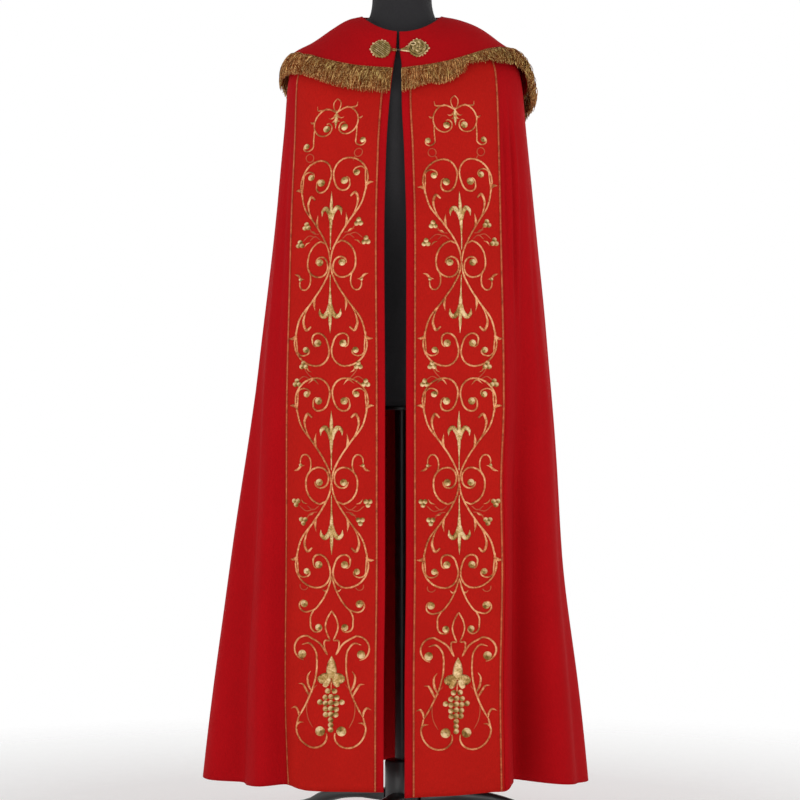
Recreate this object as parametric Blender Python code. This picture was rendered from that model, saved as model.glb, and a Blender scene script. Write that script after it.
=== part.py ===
"""Cope vestment, clasped and hanging on a limbless dress form with a three-legged stand.

Metres, +Z up, floor at z = 0. The open front faces -Y, and left and right are as seen from the front.
The cloth is one draped surface, placed(k, down): k runs round the garment from the left front edge
(k = 0) by the left orphrey's outer line (1), the centre back (6) and the right orphrey's outer line
(11) to the right front edge (12), and down runs from the neckline (0) to the hem (HEM).
"""

import math

import bmesh
import bpy
import numpy as np

# Wall thicknesses and the gaps between pieces that touch.
CLOTH = 0.0020
ORPHREY_CLOTH = 0.0010
BRAID_THICK = 0.0012
CAPE_CLOTH = 0.0022
FRINGE_THICK = 0.0070
SEAM_GAP = 0.0003
REST_GAP = 0.0016

# Widths of what is sewn on.
MARGINS = {"left": 0.0160, "right": 0.0170}
BRAID_WIDTH = 0.0050
FRINGE_LENGTH = 0.0470

# Sections of the draped cloth, from the neckline to the hem. Each is a rounded outline: its height at
# the front, the sides and the back, how far it reaches each way from x = 0 and y = 0, the y of its
# widest points, and its squareness (2 is an ellipse).
SECTION_COLUMNS = (
    "down", "z_front", "z_side", "z_back", "left", "right", "front", "back", "middle", "square",
)
SECTIONS = (
    (0.00, 1.578, 1.619, 1.632, 0.066, 0.090, 0.070, 0.105, 0.020, 2.00),
    (0.02, 1.565, 1.613, 1.621, 0.086, 0.114, 0.076, 0.111, 0.020, 2.00),
    (0.05, 1.543, 1.593, 1.599, 0.118, 0.162, 0.083, 0.118, 0.020, 2.05),
    (0.10, 1.508, 1.563, 1.562, 0.158, 0.202, 0.095, 0.131, 0.020, 2.20),
    (0.15, 1.472, 1.536, 1.520, 0.198, 0.234, 0.105, 0.143, 0.020, 2.35),
    (0.19, 1.440, 1.503, 1.484, 0.211, 0.247, 0.112, 0.150, 0.020, 2.50),
    (0.30, 1.345, 1.390, 1.376, 0.221, 0.259, 0.125, 0.165, 0.020, 2.60),
    (0.50, 1.165, 1.170, 1.170, 0.244, 0.279, 0.148, 0.188, 0.015, 2.50),
    (0.81, 0.860, 0.860, 0.860, 0.281, 0.307, 0.172, 0.214, 0.005, 2.45),
    (1.12, 0.550, 0.550, 0.550, 0.322, 0.327, 0.192, 0.240, 0.000, 2.40),
    (1.37, 0.300, 0.300, 0.300, 0.356, 0.355, 0.207, 0.256, 0.000, 2.35),
    (1.56, 0.113, 0.113, 0.113, 0.375, 0.375, 0.218, 0.267, 0.000, 2.30),
)
HEM = SECTIONS[-1][0]
Z_BLEND = 1.6

# The two front edges and the orphreys' outer lines: distances from x = 0 at the same downs. An edge
# with a distance below 0 lies past the middle.
FRONT_COLUMNS = ("down", "edge_left", "outer_left", "edge_right", "outer_right")
FRONTS = (
    (0.00, -0.0025, 0.0520, 0.0075, 0.0740),
    (0.05, -0.0010, 0.0980, 0.0080, 0.1380),
    (0.10, 0.0040, 0.1460, 0.0120, 0.1820),
    (0.15, 0.0085, 0.1840, 0.0118, 0.1960),
    (0.19, 0.0118, 0.1940, 0.0120, 0.1987),
    (0.30, 0.0180, 0.1970, 0.0165, 0.2015),
    (0.50, 0.0218, 0.2035, 0.0208, 0.2055),
    (0.81, 0.0200, 0.2128, 0.0202, 0.2078),
    (0.98, 0.0198, 0.2143, 0.0201, 0.2020),
    (1.12, 0.0196, 0.2155, 0.0200, 0.2034),
    (1.37, 0.0222, 0.2172, 0.0174, 0.1992),
    (1.56, 0.0225, 0.2125, 0.0174, 0.2005),
)

# Hanging folds: where round the garment, how far out (or in, below zero) at the hem, how wide in
# units of k, and the down at which each begins.
FOLD_COLUMNS = ("at", "deep", "wide", "start")
FOLDS = (
    (1.06, -0.026, 0.13, 0.50),
    (1.32, 0.010, 0.14, 0.60),
    (1.90, -0.048, 0.33, 0.30),
    (2.60, 0.006, 0.25, 0.50),
    (3.50, -0.030, 0.33, 0.45),
    (4.10, 0.022, 0.28, 0.50),
    (4.75, -0.038, 0.30, 0.55),
    (5.40, 0.024, 0.28, 0.60),
    (6.05, -0.036, 0.30, 0.58),
    (6.60, 0.022, 0.26, 0.60),
    (7.25, -0.040, 0.30, 0.55),
    (7.85, 0.024, 0.27, 0.50),
    (8.50, -0.028, 0.30, 0.50),
    (9.20, 0.006, 0.25, 0.50),
    (9.60, -0.010, 0.20, 0.45),
    (10.48, -0.088, 0.27, 0.30),
    (10.95, 0.022, 0.11, 0.40),
)

# How much higher or lower than its section the hem hangs, round the garment.
HEM_LIFTS = (
    (0.0, 0.005), (0.75, 0.0055), (1.0, 0.012), (1.3, 0.010), (1.8, 0.005), (2.8, 0.006),
    (4.1, -0.002), (6.0, 0.003), (8.0, -0.002), (9.3, -0.003), (9.9, 0.003), (10.35, 0.009),
    (10.85, 0.014), (11.0, 0.005), (12.0, -0.006),
)
HEM_LIFT_START = 1.20

# The height of the shoulder cape's edge round the garment: short fronts and a rounded hood behind.
CAPE_EDGES = (
    (0.0, 1.500), (0.42, 1.504), (0.6, 1.509), (0.8, 1.518), (1.0, 1.530), (1.3, 1.536),
    (1.8, 1.538), (2.3, 1.532), (2.8, 1.510), (3.4, 1.448), (4.3, 1.292), (5.2, 1.164),
    (6.0, 1.125), (6.8, 1.160), (7.7, 1.290), (8.6, 1.452), (9.4, 1.490), (10.2, 1.543),
    (10.6, 1.544), (11.0, 1.541), (11.2, 1.529), (11.4, 1.518), (11.6, 1.510), (12.0, 1.500),
)
CAPE_LIFT_AT_NECK = 0.0005
CAPE_LIFT_ON_ORPHREY = 0.0035
CAPE_LIFT_AT_EDGE = 0.0060
CAPE_FRONT_DOWN = 0.11
CAPE_OVER_ORPHREY = 0.045
ORPHREY_TOP = 0.05

# Dress form: the rings above and below the shoulders, which take their shape from the cope.
FORM_COLUMNS = ("z_front", "z_side", "z_back", "left", "right", "front", "back", "square")
FORM_CENTRE = (0.0127, 0.030)
NECK_RINGS = (
    (1.690, 1.690, 1.690, 0.0455, 0.0709, 0.026, 0.086, 2.0),
    (1.650, 1.650, 1.650, 0.0465, 0.0719, 0.028, 0.088, 2.0),
    (1.592, 1.620, 1.637, 0.0530, 0.0790, 0.047, 0.096, 2.0),
)
TRUNK_RINGS = (
    (1.420, 1.470, 1.450, 0.188, 0.220, 0.103, 0.138, 2.4),
    (1.360, 1.395, 1.375, 0.176, 0.206, 0.108, 0.136, 2.4),
    (1.290, 1.290, 1.290, 0.156, 0.184, 0.112, 0.130, 2.3),
    (1.200, 1.200, 1.200, 0.137, 0.164, 0.104, 0.115, 2.2),
    (1.110, 1.110, 1.110, 0.128, 0.155, 0.094, 0.106, 2.2),
    (1.020, 1.020, 1.020, 0.143, 0.170, 0.098, 0.116, 2.2),
    (0.930, 0.930, 0.930, 0.159, 0.186, 0.104, 0.126, 2.2),
    (0.850, 0.850, 0.850, 0.161, 0.188, 0.105, 0.127, 2.2),
)
SHOULDER_DOWNS = (0.0, 0.03, 0.06, 0.09, 0.12, 0.145)
WIDEST_SHOULDER = 3
FORM_SIDES = 40

# Stand.
STAND_X, STAND_Y = 0.0127, 0.010
POLE_RADIUS = 0.014
HUB_RADIUS, HUB_BOTTOM, HUB_TOP = 0.034, 0.045, 0.150
PLATE_RADIUS, PLATE_THICK = 0.060, 0.008
ROUND_SIDES, PLATE_ROUNDING, HUB_ROUNDING = 32, 0.001, 0.004
LEG_WIDTH, LEG_HEIGHT = 0.034, 0.024
LEG_RINGS, LEG_SIDES, LEG_ROUNDNESS = 12, 12, 0.55
LEG_LEVEL_AT_HUB, LEG_LEVEL_AT_FOOT = 0.03, 0.02
LEG_AZIMUTHS = (-105.0, 15.0, 135.0)
PAD_RADIUS, PAD_THICK = 0.019, 0.012
LEG_END = PAD_THICK + SEAM_GAP + LEG_HEIGHT / 2
LEG_PROFILE = (
    (0.000, 0.076), (0.060, 0.076), (0.130, 0.068), (0.190, 0.051), (0.228, 0.033), (0.266, LEG_END),
)

# Clasp: two corded medallions joined by a hook.
MEDAL_HALF_WIDTH, MEDAL_HALF_HEIGHT, MEDAL_THICK = 0.0200, 0.0186, 0.0050
MEDAL_SIDES = 28
MEDAL_SCALLOPS, SCALLOP_DEPTH = 7, 0.05
MEDAL_POINT, MEDAL_POINT_WIDE = 0.16, 0.5
MEDAL_SEAT = 0.0010
MEDAL_PROFILE = ((MEDAL_SEAT, 0.90), (MEDAL_THICK * 0.55, 1.0), (MEDAL_THICK, 0.72))
MEDAL_CENTRES = {"left": (-0.0262, 1.5425), "right": (0.0425, 1.5455)}
MEDAL_TURN = {"left": 1.0, "right": -1.0}
HOOK_LENGTH, HOOK_HEIGHT, HOOK_THICK, HOOK_ROUNDING = 0.0300, 0.0044, 0.0018, 0.0006
HOOK_X, HOOK_Z, HOOK_SEAT = 0.0082, 1.5412, (0.0160, 1.5370)
CLASP_REACH, CLASP_DEPTH = 0.066, 0.14

# Grid of the cloth.
ROW_DOWNS = (
    0.0, 0.03, 0.06, 0.09, 0.12, 0.15, 0.19, 0.24, 0.30, 0.39, 0.50, 0.63, 0.76, 0.90, 1.03,
    1.16, 1.29, 1.42, HEM,
)
SIDE_STEPS = ((1.1, 1.5, 4), (1.68, 10.14, 42), (10.3, 10.9, 8))
ORPHREY_PANELS = 5
ORPHREY_PAST_SEAM = 0.0023
EDGE, BRAID_IN, BRAID_OUT, OUTER_IN, SEAM, OUTER_OUT = 0, 1, 2, 7, 8, 9
CAPE_STEPS = ((0.0, 1.0, 5), (1.25, 10.75, 34), (11.0, 12.0, 5))
CAPE_SHARES = (0.0, 0.06, 0.13, 0.20, 0.27, 0.35, 0.45, 0.60, 0.80, 1.0)
CAPE_LONGEST = 0.75
FOLD_AFTER_HEM = 0.1

# Points along a curve that is measured, not built.
DENSE_OUTLINE = 361
DENSE_ROUND = 481
DENSE_DOWN = 151


def clear_scene():
    for old in list(bpy.data.objects):
        bpy.data.objects.remove(old, do_unlink=True)


def finish_of(name, colour, roughness, metallic=0.0):
    material = bpy.data.materials.new(name)
    material.use_nodes = True
    shader = material.node_tree.nodes["Principled BSDF"]
    shader.inputs["Base Color"].default_value = (*colour, 1.0)
    shader.inputs["Roughness"].default_value = roughness
    shader.inputs["Metallic"].default_value = metallic
    return material


def ease(value, low, high):
    """0 below low, 1 above high, and a smooth step between them."""
    t = np.clip((np.asarray(value, float) - low) / (high - low), 0.0, 1.0)
    return t * t * (3.0 - 2.0 * t)


def smooth_through(knots, values, at):
    """The smooth curve through (knots, values) that never overshoots them, read at each place."""
    knots, values = np.asarray(knots, float), np.asarray(values, float)
    step = np.diff(knots)
    slope = np.diff(values) / step
    tangent = np.concatenate([slope[:1], np.zeros(len(step) - 1), slope[-1:]])
    for i in range(1, len(step)):
        if slope[i - 1] * slope[i] > 0:
            before, after = 2 * step[i] + step[i - 1], step[i] + 2 * step[i - 1]
            tangent[i] = (before + after) / (before / slope[i - 1] + after / slope[i])
    at = np.clip(np.asarray(at, float), knots[0], knots[-1])
    i = np.clip(np.searchsorted(knots, at, side="right") - 1, 0, len(step) - 1)
    t = (at - knots[i]) / step[i]
    rise = values[i] * (1 + 2 * t) * (1 - t) ** 2 + values[i + 1] * t * t * (3 - 2 * t)
    return rise + step[i] * t * (1 - t) * (tangent[i] * (1 - t) - tangent[i + 1] * t)


def row_of(columns, rows, down):
    """A table's values at this down, by column name."""
    knots = [row[0] for row in rows]
    return {
        name: float(smooth_through(knots, [row[n] for row in rows], down))
        for n, name in enumerate(columns)
    }


def fold_at(k, down):
    """How far the folds move the cloth outwards."""
    total = np.zeros_like(k)
    for row in FOLDS:
        fold = dict(zip(FOLD_COLUMNS, row))
        full = ease(HEM, fold["start"], HEM + FOLD_AFTER_HEM)
        growth = float(ease(down, fold["start"], HEM + FOLD_AFTER_HEM) / full)
        total += fold["deep"] * growth * np.exp(-(((k - fold["at"]) / fold["wide"]) ** 2))
    return total


def height_on(section, y):
    """The height of a section's outline where it passes this y."""
    in_front = y < section["middle"]
    reach = np.where(in_front, section["middle"] + section["front"], section["back"] - section["middle"])
    share = np.clip(np.abs(y - section["middle"]) / reach, 0.0, 1.0) ** Z_BLEND
    end = np.where(in_front, section["z_front"], section["z_back"])
    return section["z_side"] + (end - section["z_side"]) * share


def outline_row(ks, down):
    """The cloth's points at this down, for each k."""
    section = row_of(SECTION_COLUMNS, SECTIONS, down)
    front = row_of(FRONT_COLUMNS, FRONTS, down)
    half = (section["left"] + section["right"]) / 2
    centre = (section["right"] - section["left"]) / 2
    square = section["square"]
    to_front = section["middle"] + section["front"]
    to_back = section["back"] - section["middle"]

    def front_y(x):
        return section["middle"] - to_front * (1 - np.abs((x - centre) / half) ** square) ** (1 / square)

    # Left side, back and right side: angles from the front, spaced evenly along the cloth.
    first = math.asin(((front["outer_left"] + centre) / half) ** (square / 2))
    last = 2 * math.pi - math.asin(((front["outer_right"] - centre) / half) ** (square / 2))
    turn = np.linspace(first, last, DENSE_OUTLINE)
    sine, cosine = np.sin(turn), np.cos(turn)
    side_x = centre - half * np.sign(sine) * np.abs(sine) ** (2 / square)
    reach = np.where(cosine > 0, to_front, to_back)
    side_y = section["middle"] - reach * np.sign(cosine) * np.abs(cosine) ** (2 / square)
    travelled = np.concatenate([[0.0], np.cumsum(np.hypot(np.diff(side_x), np.diff(side_y)))])
    share = np.clip((ks - 1.0) / 10.0, 0.0, 1.0) * travelled[-1]
    x = np.interp(share, travelled, side_x)
    y = np.interp(share, travelled, side_y)

    # The two fronts, spaced evenly in x.
    on_left, on_right = ks < 1.0, ks > 11.0
    left_x = -(front["edge_left"] + (front["outer_left"] - front["edge_left"]) * ks)
    right_x = front["edge_right"] + (front["outer_right"] - front["edge_right"]) * (12.0 - ks)
    x = np.where(on_left, left_x, np.where(on_right, right_x, x))
    y = np.where(on_left | on_right, front_y(x), y)
    z = height_on(section, y)
    lifts = smooth_through([k for k, _ in HEM_LIFTS], [lift for _, lift in HEM_LIFTS], ks)
    return np.stack([x, y, z + lifts * ease(down, HEM_LIFT_START, HEM)], axis=-1)


def placed(ks, down):
    """The draped cloth's outer points at this down, folds included, for each k."""
    ks = np.asarray(ks, float)
    fine = np.linspace(0.0, 12.0, DENSE_ROUND)
    line = outline_row(fine, down)
    along = np.gradient(line[:, :2], axis=0)
    outward = np.stack([-along[:, 1], along[:, 0]], axis=-1)
    outward /= np.linalg.norm(outward, axis=-1, keepdims=True)
    points = outline_row(ks, down)
    for axis in (0, 1):
        points[:, axis] += np.interp(ks, fine, outward[:, axis]) * fold_at(ks, down)
    return points


def bisectors(grid, axis):
    """At each point, the mean direction of the grid's steps into and out of it along one axis."""
    steps = np.diff(grid, axis=axis)
    steps /= np.linalg.norm(steps, axis=-1, keepdims=True)
    first, last = np.take(steps, [0], axis), np.take(steps, [-1], axis)
    return np.concatenate([first, steps], axis) + np.concatenate([steps, last], axis)


def normals_of(grid):
    """Unit normals of a grid of rows and columns, on the side that faces out."""
    normal = np.cross(bisectors(grid, 1), bisectors(grid, 0))
    return normal / np.linalg.norm(normal, axis=-1, keepdims=True)


def k_of_front(side, distance, down):
    """The k at a distance from x = 0 on one front."""
    front = row_of(FRONT_COLUMNS, FRONTS, down)
    edge, outer = front["edge_" + side], front["outer_" + side]
    share = (distance - edge) / (outer - edge)
    return share if side == "left" else 12.0 - share


def front_ks(side, down):
    """The columns of one front, from its edge: the braids' sides, the orphrey, and the seam."""
    front = row_of(FRONT_COLUMNS, FRONTS, down)
    inner, outer = front["edge_" + side] + MARGINS[side], front["outer_" + side]
    near, far = inner + BRAID_WIDTH / 2, outer - BRAID_WIDTH
    distances = [front["edge_" + side], inner - BRAID_WIDTH / 2]
    distances += [near + (far - near) * n / ORPHREY_PANELS for n in range(ORPHREY_PANELS + 1)]
    return [k_of_front(side, d, down) for d in distances] + [1.0 if side == "left" else 11.0]


def all_ks(down):
    """Every column of the cloth at this down. OUTER_OUT, past the seam, is the orphrey's outer edge."""
    front = row_of(FRONT_COLUMNS, FRONTS, down)
    past = ORPHREY_PAST_SEAM / (front["outer_left"] - front["edge_left"])
    sides = [k for low, high, count in SIDE_STEPS for k in np.linspace(low, high, count)]
    left, right = front_ks("left", down), front_ks("right", down)
    return np.array(left + [1.0 + past] + sides + [11.0 - past] + right[::-1])


def wall(name, outer, inner, material):
    """A wall of cloth between two grids of points, closed along its four edges."""
    rows, columns = outer.shape[:2]
    size = rows * columns
    index = np.arange(size).reshape(rows, columns)
    faces = []
    for r in range(rows - 1):
        for c in range(columns - 1):
            a, b, d, e = index[r, c], index[r, c + 1], index[r + 1, c], index[r + 1, c + 1]
            for face in ([a, b, e], [a, e, d]):
                faces.append(face)
                faces.append([corner + size for corner in face[::-1]])
    rim = [*index[0, :], *index[1:, -1], *index[-1, -2::-1], *index[-2:0:-1, 0]]
    for corner, following in zip(rim, rim[1:] + rim[:1]):
        faces.append([following, corner, corner + size, following + size])
    mesh = bpy.data.meshes.new(name)
    points = np.concatenate([outer.reshape(-1, 3), inner.reshape(-1, 3)])
    mesh.from_pydata(points.tolist(), [], [[int(corner) for corner in face] for face in faces])
    put(name, mesh, material)
    mesh.set_sharp_from_angle(angle=math.radians(60))


def put(name, mesh, material):
    mesh.shade_smooth()
    mesh.materials.append(material)
    obj = bpy.data.objects.new(name, mesh)
    bpy.context.scene.collection.objects.link(obj)
    return obj


def loft(name, rings, material):
    """A closed solid through rings of points, with flat ends."""
    count = len(rings[0])
    mesh = bmesh.new()
    loops = [[mesh.verts.new(point) for point in ring] for ring in rings]
    for upper, lower in zip(loops, loops[1:]):
        for i in range(count):
            j = (i + 1) % count
            mesh.faces.new((upper[i], upper[j], lower[j], lower[i]))
    mesh.faces.new(loops[0])
    mesh.faces.new(loops[-1])
    bmesh.ops.recalc_face_normals(mesh, faces=mesh.faces)
    data = bpy.data.meshes.new(name)
    mesh.to_mesh(data)
    mesh.free()
    put(name, data, material)


def round_edges(obj, width):
    edge = obj.modifiers.new("Edge", "BEVEL")
    edge.width = width
    edge.segments = 2
    edge.limit_method = "ANGLE"


def cylinder(name, radius, low, high, x, y, material, bevel=0.0):
    mesh = bmesh.new()
    bmesh.ops.create_cone(
        mesh, cap_ends=True, segments=ROUND_SIDES, radius1=radius, radius2=radius, depth=high - low
    )
    data = bpy.data.meshes.new(name)
    mesh.to_mesh(data)
    mesh.free()
    obj = put(name, data, material)
    obj.location = (x, y, (low + high) / 2)
    if bevel:
        round_edges(obj, bevel)


def pulled_apart(grid, column, towards):
    """The grid with one seam column drawn back from its neighbour by half the seam gap."""
    grid = grid.copy()
    pull = grid[:, towards] - grid[:, column]
    grid[:, column] += pull / np.linalg.norm(pull, axis=-1, keepdims=True) * SEAM_GAP / 2
    return grid


def make_body(grid, material):
    """The mantle: a back width that reaches round both sides, and two fronts joined to it at the orphreys."""
    last = grid.shape[1] - 1
    faces = [grid, grid - normals_of(grid) * CLOTH]
    left = [pulled_apart(face[:, EDGE : SEAM + 1], -1, -2) for face in faces]
    right = [pulled_apart(face[:, last - SEAM :], 0, 1) for face in faces]
    back = [pulled_apart(face[:, SEAM : last - SEAM + 1], 0, 1) for face in faces]
    back = [pulled_apart(face, -1, -2) for face in back]
    wall("cope_front_left", *left, material)
    wall("cope_front_right", *right, material)
    wall("cope_back", *back, material)


def make_orphreys(grid, orphrey_finish, braid_finish):
    """The two bands and their gold edge braids, made from the fronts' own points, moved out."""
    normal = normals_of(grid)
    start = next(n for n, down in enumerate(ROW_DOWNS) if down >= ORPHREY_TOP)
    last = grid.shape[1] - 1
    braid_lift = SEAM_GAP + ORPHREY_CLOTH + SEAM_GAP
    for side in ("left", "right"):

        def strip(name, first, final, lift, thickness, finish):
            columns = slice(first, final + 1)
            if side == "right":
                columns = slice(last - final, last - first + 1)
            under, outward = grid[start:, columns], normal[start:, columns]
            wall(name + side, under + outward * (lift + thickness), under + outward * lift, finish)

        strip("orphrey_", BRAID_IN, OUTER_OUT, SEAM_GAP, ORPHREY_CLOTH, orphrey_finish)
        strip("braid_inner_", BRAID_IN, BRAID_OUT, braid_lift, BRAID_THICK, braid_finish)
        strip("braid_outer_", OUTER_IN, OUTER_OUT, braid_lift, BRAID_THICK, braid_finish)


def meridians(ks):
    """Dense points down the cloth for each k, with their normals, and the downs that they lie at."""
    downs = np.linspace(0.0, CAPE_LONGEST, DENSE_DOWN)
    grid = np.stack([placed(ks, down) for down in downs])
    return downs, grid, normals_of(grid)


def lift_of_cape(down, share):
    """How far the cape's underside stands off the mantle: over the orphreys, and more towards its edge."""
    over = CAPE_LIFT_ON_ORPHREY * ease(down, 0.0, CAPE_OVER_ORPHREY)
    return CAPE_LIFT_AT_NECK + over + CAPE_LIFT_AT_EDGE * share**2


def lifted(downs, points, normals, at, lift):
    """One meridian's point at this down, moved out."""
    point = [np.interp(at, downs, points[:, axis]) for axis in range(3)]
    normal = np.array([np.interp(at, downs, normals[:, axis]) for axis in range(3)])
    return np.array(point) + normal / np.linalg.norm(normal) * lift


def make_cape(cape_finish, fringe_finish):
    """The shoulder cape with its hood behind, and the bullion fringe that hangs from its edge."""
    ks = np.concatenate([np.linspace(low, high, count) for low, high, count in CAPE_STEPS])
    downs, grid, normals = meridians(ks)
    edge_heights = smooth_through([k for k, _ in CAPE_EDGES], [z for _, z in CAPE_EDGES], ks)
    cape, fringe = [], []
    for column, edge_height in enumerate(edge_heights):
        points, outward = grid[:, column], normals[:, column]
        edge = np.interp(-edge_height, -points[:, 2], downs)
        length = np.concatenate([[0.0], np.cumsum(np.linalg.norm(np.diff(points, axis=0), axis=-1))])
        edge_length = np.interp(edge, downs, length)
        hang = lift_of_cape(edge, 1.0)
        reach = [edge_length + below for below in (2 * SEAM_GAP, FRINGE_LENGTH / 2, FRINGE_LENGTH)]
        line = [(edge * share, lift_of_cape(edge * share, share)) for share in CAPE_SHARES]
        cape.append([both_faces(downs, points, outward, at, lift, CAPE_CLOTH) for at, lift in line])
        line = [np.interp(r, length, downs) for r in reach]
        fringe.append([both_faces(downs, points, outward, at, hang, FRINGE_THICK) for at in line])
    inner, outer = np.array(cape).transpose(2, 1, 0, 3)
    wall("shoulder_cape", outer, inner, cape_finish)
    inner, outer = np.array(fringe).transpose(2, 1, 0, 3)
    wall("hood_fringe", outer, inner, fringe_finish)


def both_faces(downs, points, normals, at, lift, thickness):
    """A meridian's two points at this down: the underside, moved out by the lift, and the outside."""
    return [lifted(downs, points, normals, at, lift + extra) for extra in (0.0, thickness)]


def cape_front(side):
    """Reads a point on the outside of the cape's front at an x and a height, moved out by a lift."""
    distances = np.linspace(0.001, CLASP_REACH, 14)
    downs = np.linspace(0.0, CLASP_DEPTH, 29)
    order = slice(None) if side == "left" else slice(None, None, -1)
    rows = []
    for down in downs:
        ks = np.array([k_of_front(side, distance, down) for distance in distances])
        rows.append(placed(ks[order], down))
    grid = np.stack(rows)
    normal = normals_of(grid)
    if side == "right":
        grid, normal = grid[:, ::-1], normal[:, ::-1]

    def point_at(x, z, lift):
        found = []
        for column in range(len(distances)):
            at = np.interp(-z, -grid[:, column, 2], downs)
            height = lift_of_cape(at, at / CAPE_FRONT_DOWN) + CAPE_CLOTH + lift
            found.append(lifted(downs, grid[:, column], normal[:, column], at, height))
        found = np.array(found)
        return np.array([np.interp(abs(x), distances, found[:, axis]) for axis in range(3)])

    return point_at


def medal_outline():
    """A pointed oval with a scalloped edge, its point towards -x."""
    for i in range(MEDAL_SIDES):
        turn = 2 * math.pi * i / MEDAL_SIDES
        scallop = 1.0 + SCALLOP_DEPTH * math.cos(MEDAL_SCALLOPS * turn)
        point = 1.0 + MEDAL_POINT * math.exp(-(((turn - math.pi) / MEDAL_POINT_WIDE) ** 2))
        yield (
            MEDAL_HALF_WIDTH * scallop * point * math.cos(turn),
            MEDAL_HALF_HEIGHT * scallop * math.sin(turn),
        )


def make_clasp(gold, dark_metal):
    """Two medallions seated on the cape, and the hook that joins them across the slit."""
    for side, (x, z) in MEDAL_CENTRES.items():
        turn = MEDAL_TURN[side]
        seat = cape_front(side)
        rings = []
        for lift, size in MEDAL_PROFILE:
            ring = [seat(x + turn * dx * size, z + dz * size, lift) for dx, dz in medal_outline()]
            rings.append([tuple(point) for point in ring])
        loft("clasp_medallion_" + side, rings, gold)
    make_hook(dark_metal)


def make_hook(material):
    """A small rounded bar across the slit, between the medallions' inner ends."""
    seat = cape_front("right")(*HOOK_SEAT, SEAM_GAP)[1]
    mesh = bmesh.new()
    bmesh.ops.create_cube(mesh, size=1.0)
    bmesh.ops.scale(mesh, vec=(HOOK_LENGTH, HOOK_THICK, HOOK_HEIGHT), verts=mesh.verts)
    data = bpy.data.meshes.new("clasp_hook")
    mesh.to_mesh(data)
    mesh.free()
    obj = put("clasp_hook", data, material)
    obj.location = (HOOK_X, seat - HOOK_THICK / 2, HOOK_Z)
    round_edges(obj, HOOK_ROUNDING)


def form_ring(row, directions):
    """One ring of the dress form: its outline where it crosses each direction from the form's centre."""
    ring = dict(zip(FORM_COLUMNS, row))
    centre_x, centre_y = FORM_CENTRE
    points = []
    for east, north in directions:
        side = ring["right"] - centre_x if east > 0 else ring["left"] + centre_x
        depth = ring["back"] - centre_y if north > 0 else ring["front"] + centre_y
        power = ring["square"]
        reach = ((abs(east) / side) ** power + (abs(north) / depth) ** power) ** (-1 / power)
        share = abs(reach * north / depth) ** Z_BLEND
        end = ring["z_back"] if north > 0 else ring["z_front"]
        z = ring["z_side"] + (end - ring["z_side"]) * share
        points.append((centre_x + reach * east, centre_y + reach * north, z))
    return points


def make_form(material):
    """The limbless trunk: its shoulders follow the cope's underside, so that the cloth rests on them."""
    ks = np.linspace(0.0, 12.0, FORM_SIDES)
    grid = np.stack([placed(ks, down) for down in SHOULDER_DOWNS])
    shoulders = grid - normals_of(grid) * (CLOTH + REST_GAP)
    flat = grid[WIDEST_SHOULDER, :, :2] - np.array(FORM_CENTRE)
    directions = flat / np.linalg.norm(flat, axis=-1, keepdims=True)
    rings = [form_ring(row, directions) for row in NECK_RINGS]
    rings += [[tuple(point) for point in ring] for ring in shoulders]
    rings += [form_ring(row, directions) for row in TRUNK_RINGS]
    loft("form_torso", rings, material)


def make_leg(number, azimuth, material):
    """One arched leg from the hub to the floor pad."""
    angle = math.radians(azimuth)
    out = np.array([math.cos(angle), math.sin(angle), 0.0])
    side = np.array([-out[1], out[0], 0.0])
    radii = [HUB_RADIUS + SEAM_GAP + r for r, _ in LEG_PROFILE]
    steps = np.linspace(radii[0], radii[-1], LEG_RINGS)
    heights = smooth_through(radii, [z for _, z in LEG_PROFILE], steps)
    slopes = np.gradient(heights, steps)
    rings = []
    for radius, height, slope in zip(steps, heights, slopes):
        lean = math.atan(slope) * float(ease(radius, steps[0], steps[0] + LEG_LEVEL_AT_HUB))
        lean *= 1.0 - float(ease(radius, steps[-1] - LEG_LEVEL_AT_FOOT, steps[-1]))
        up = np.array([0.0, 0.0, math.cos(lean)]) - out * math.sin(lean)
        centre = np.array([STAND_X, STAND_Y, height]) + out * radius
        ring = []
        for corner in range(LEG_SIDES):
            turn = 2 * math.pi * (corner + 0.5) / LEG_SIDES
            across = LEG_WIDTH / 2 * math.copysign(abs(math.cos(turn)) ** LEG_ROUNDNESS, math.cos(turn))
            above = LEG_HEIGHT / 2 * math.copysign(abs(math.sin(turn)) ** LEG_ROUNDNESS, math.sin(turn))
            ring.append(tuple(centre + side * across + up * above))
        rings.append(ring)
    loft(f"stand_leg_{number}", rings, material)
    foot = np.array([STAND_X, STAND_Y, 0.0]) + out * (radii[-1] - PAD_RADIUS)
    pad = f"foot_pad_{number}"
    cylinder(pad, PAD_RADIUS, 0.0, PAD_THICK, foot[0], foot[1], material, PLATE_ROUNDING)


def make_stand(material):
    plate_high = TRUNK_RINGS[-1][0] - SEAM_GAP
    plate_low = plate_high - PLATE_THICK
    pole = (HUB_TOP + SEAM_GAP, plate_low - SEAM_GAP)
    at = (STAND_X, STAND_Y)
    cylinder("form_plate", PLATE_RADIUS, plate_low, plate_high, *at, material, PLATE_ROUNDING)
    cylinder("stand_pole", POLE_RADIUS, *pole, *at, material)
    cylinder("stand_hub", HUB_RADIUS, HUB_BOTTOM, HUB_TOP, *at, material, HUB_ROUNDING)
    for number, azimuth in enumerate(LEG_AZIMUTHS, start=1):
        make_leg(number, azimuth, material)


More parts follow.
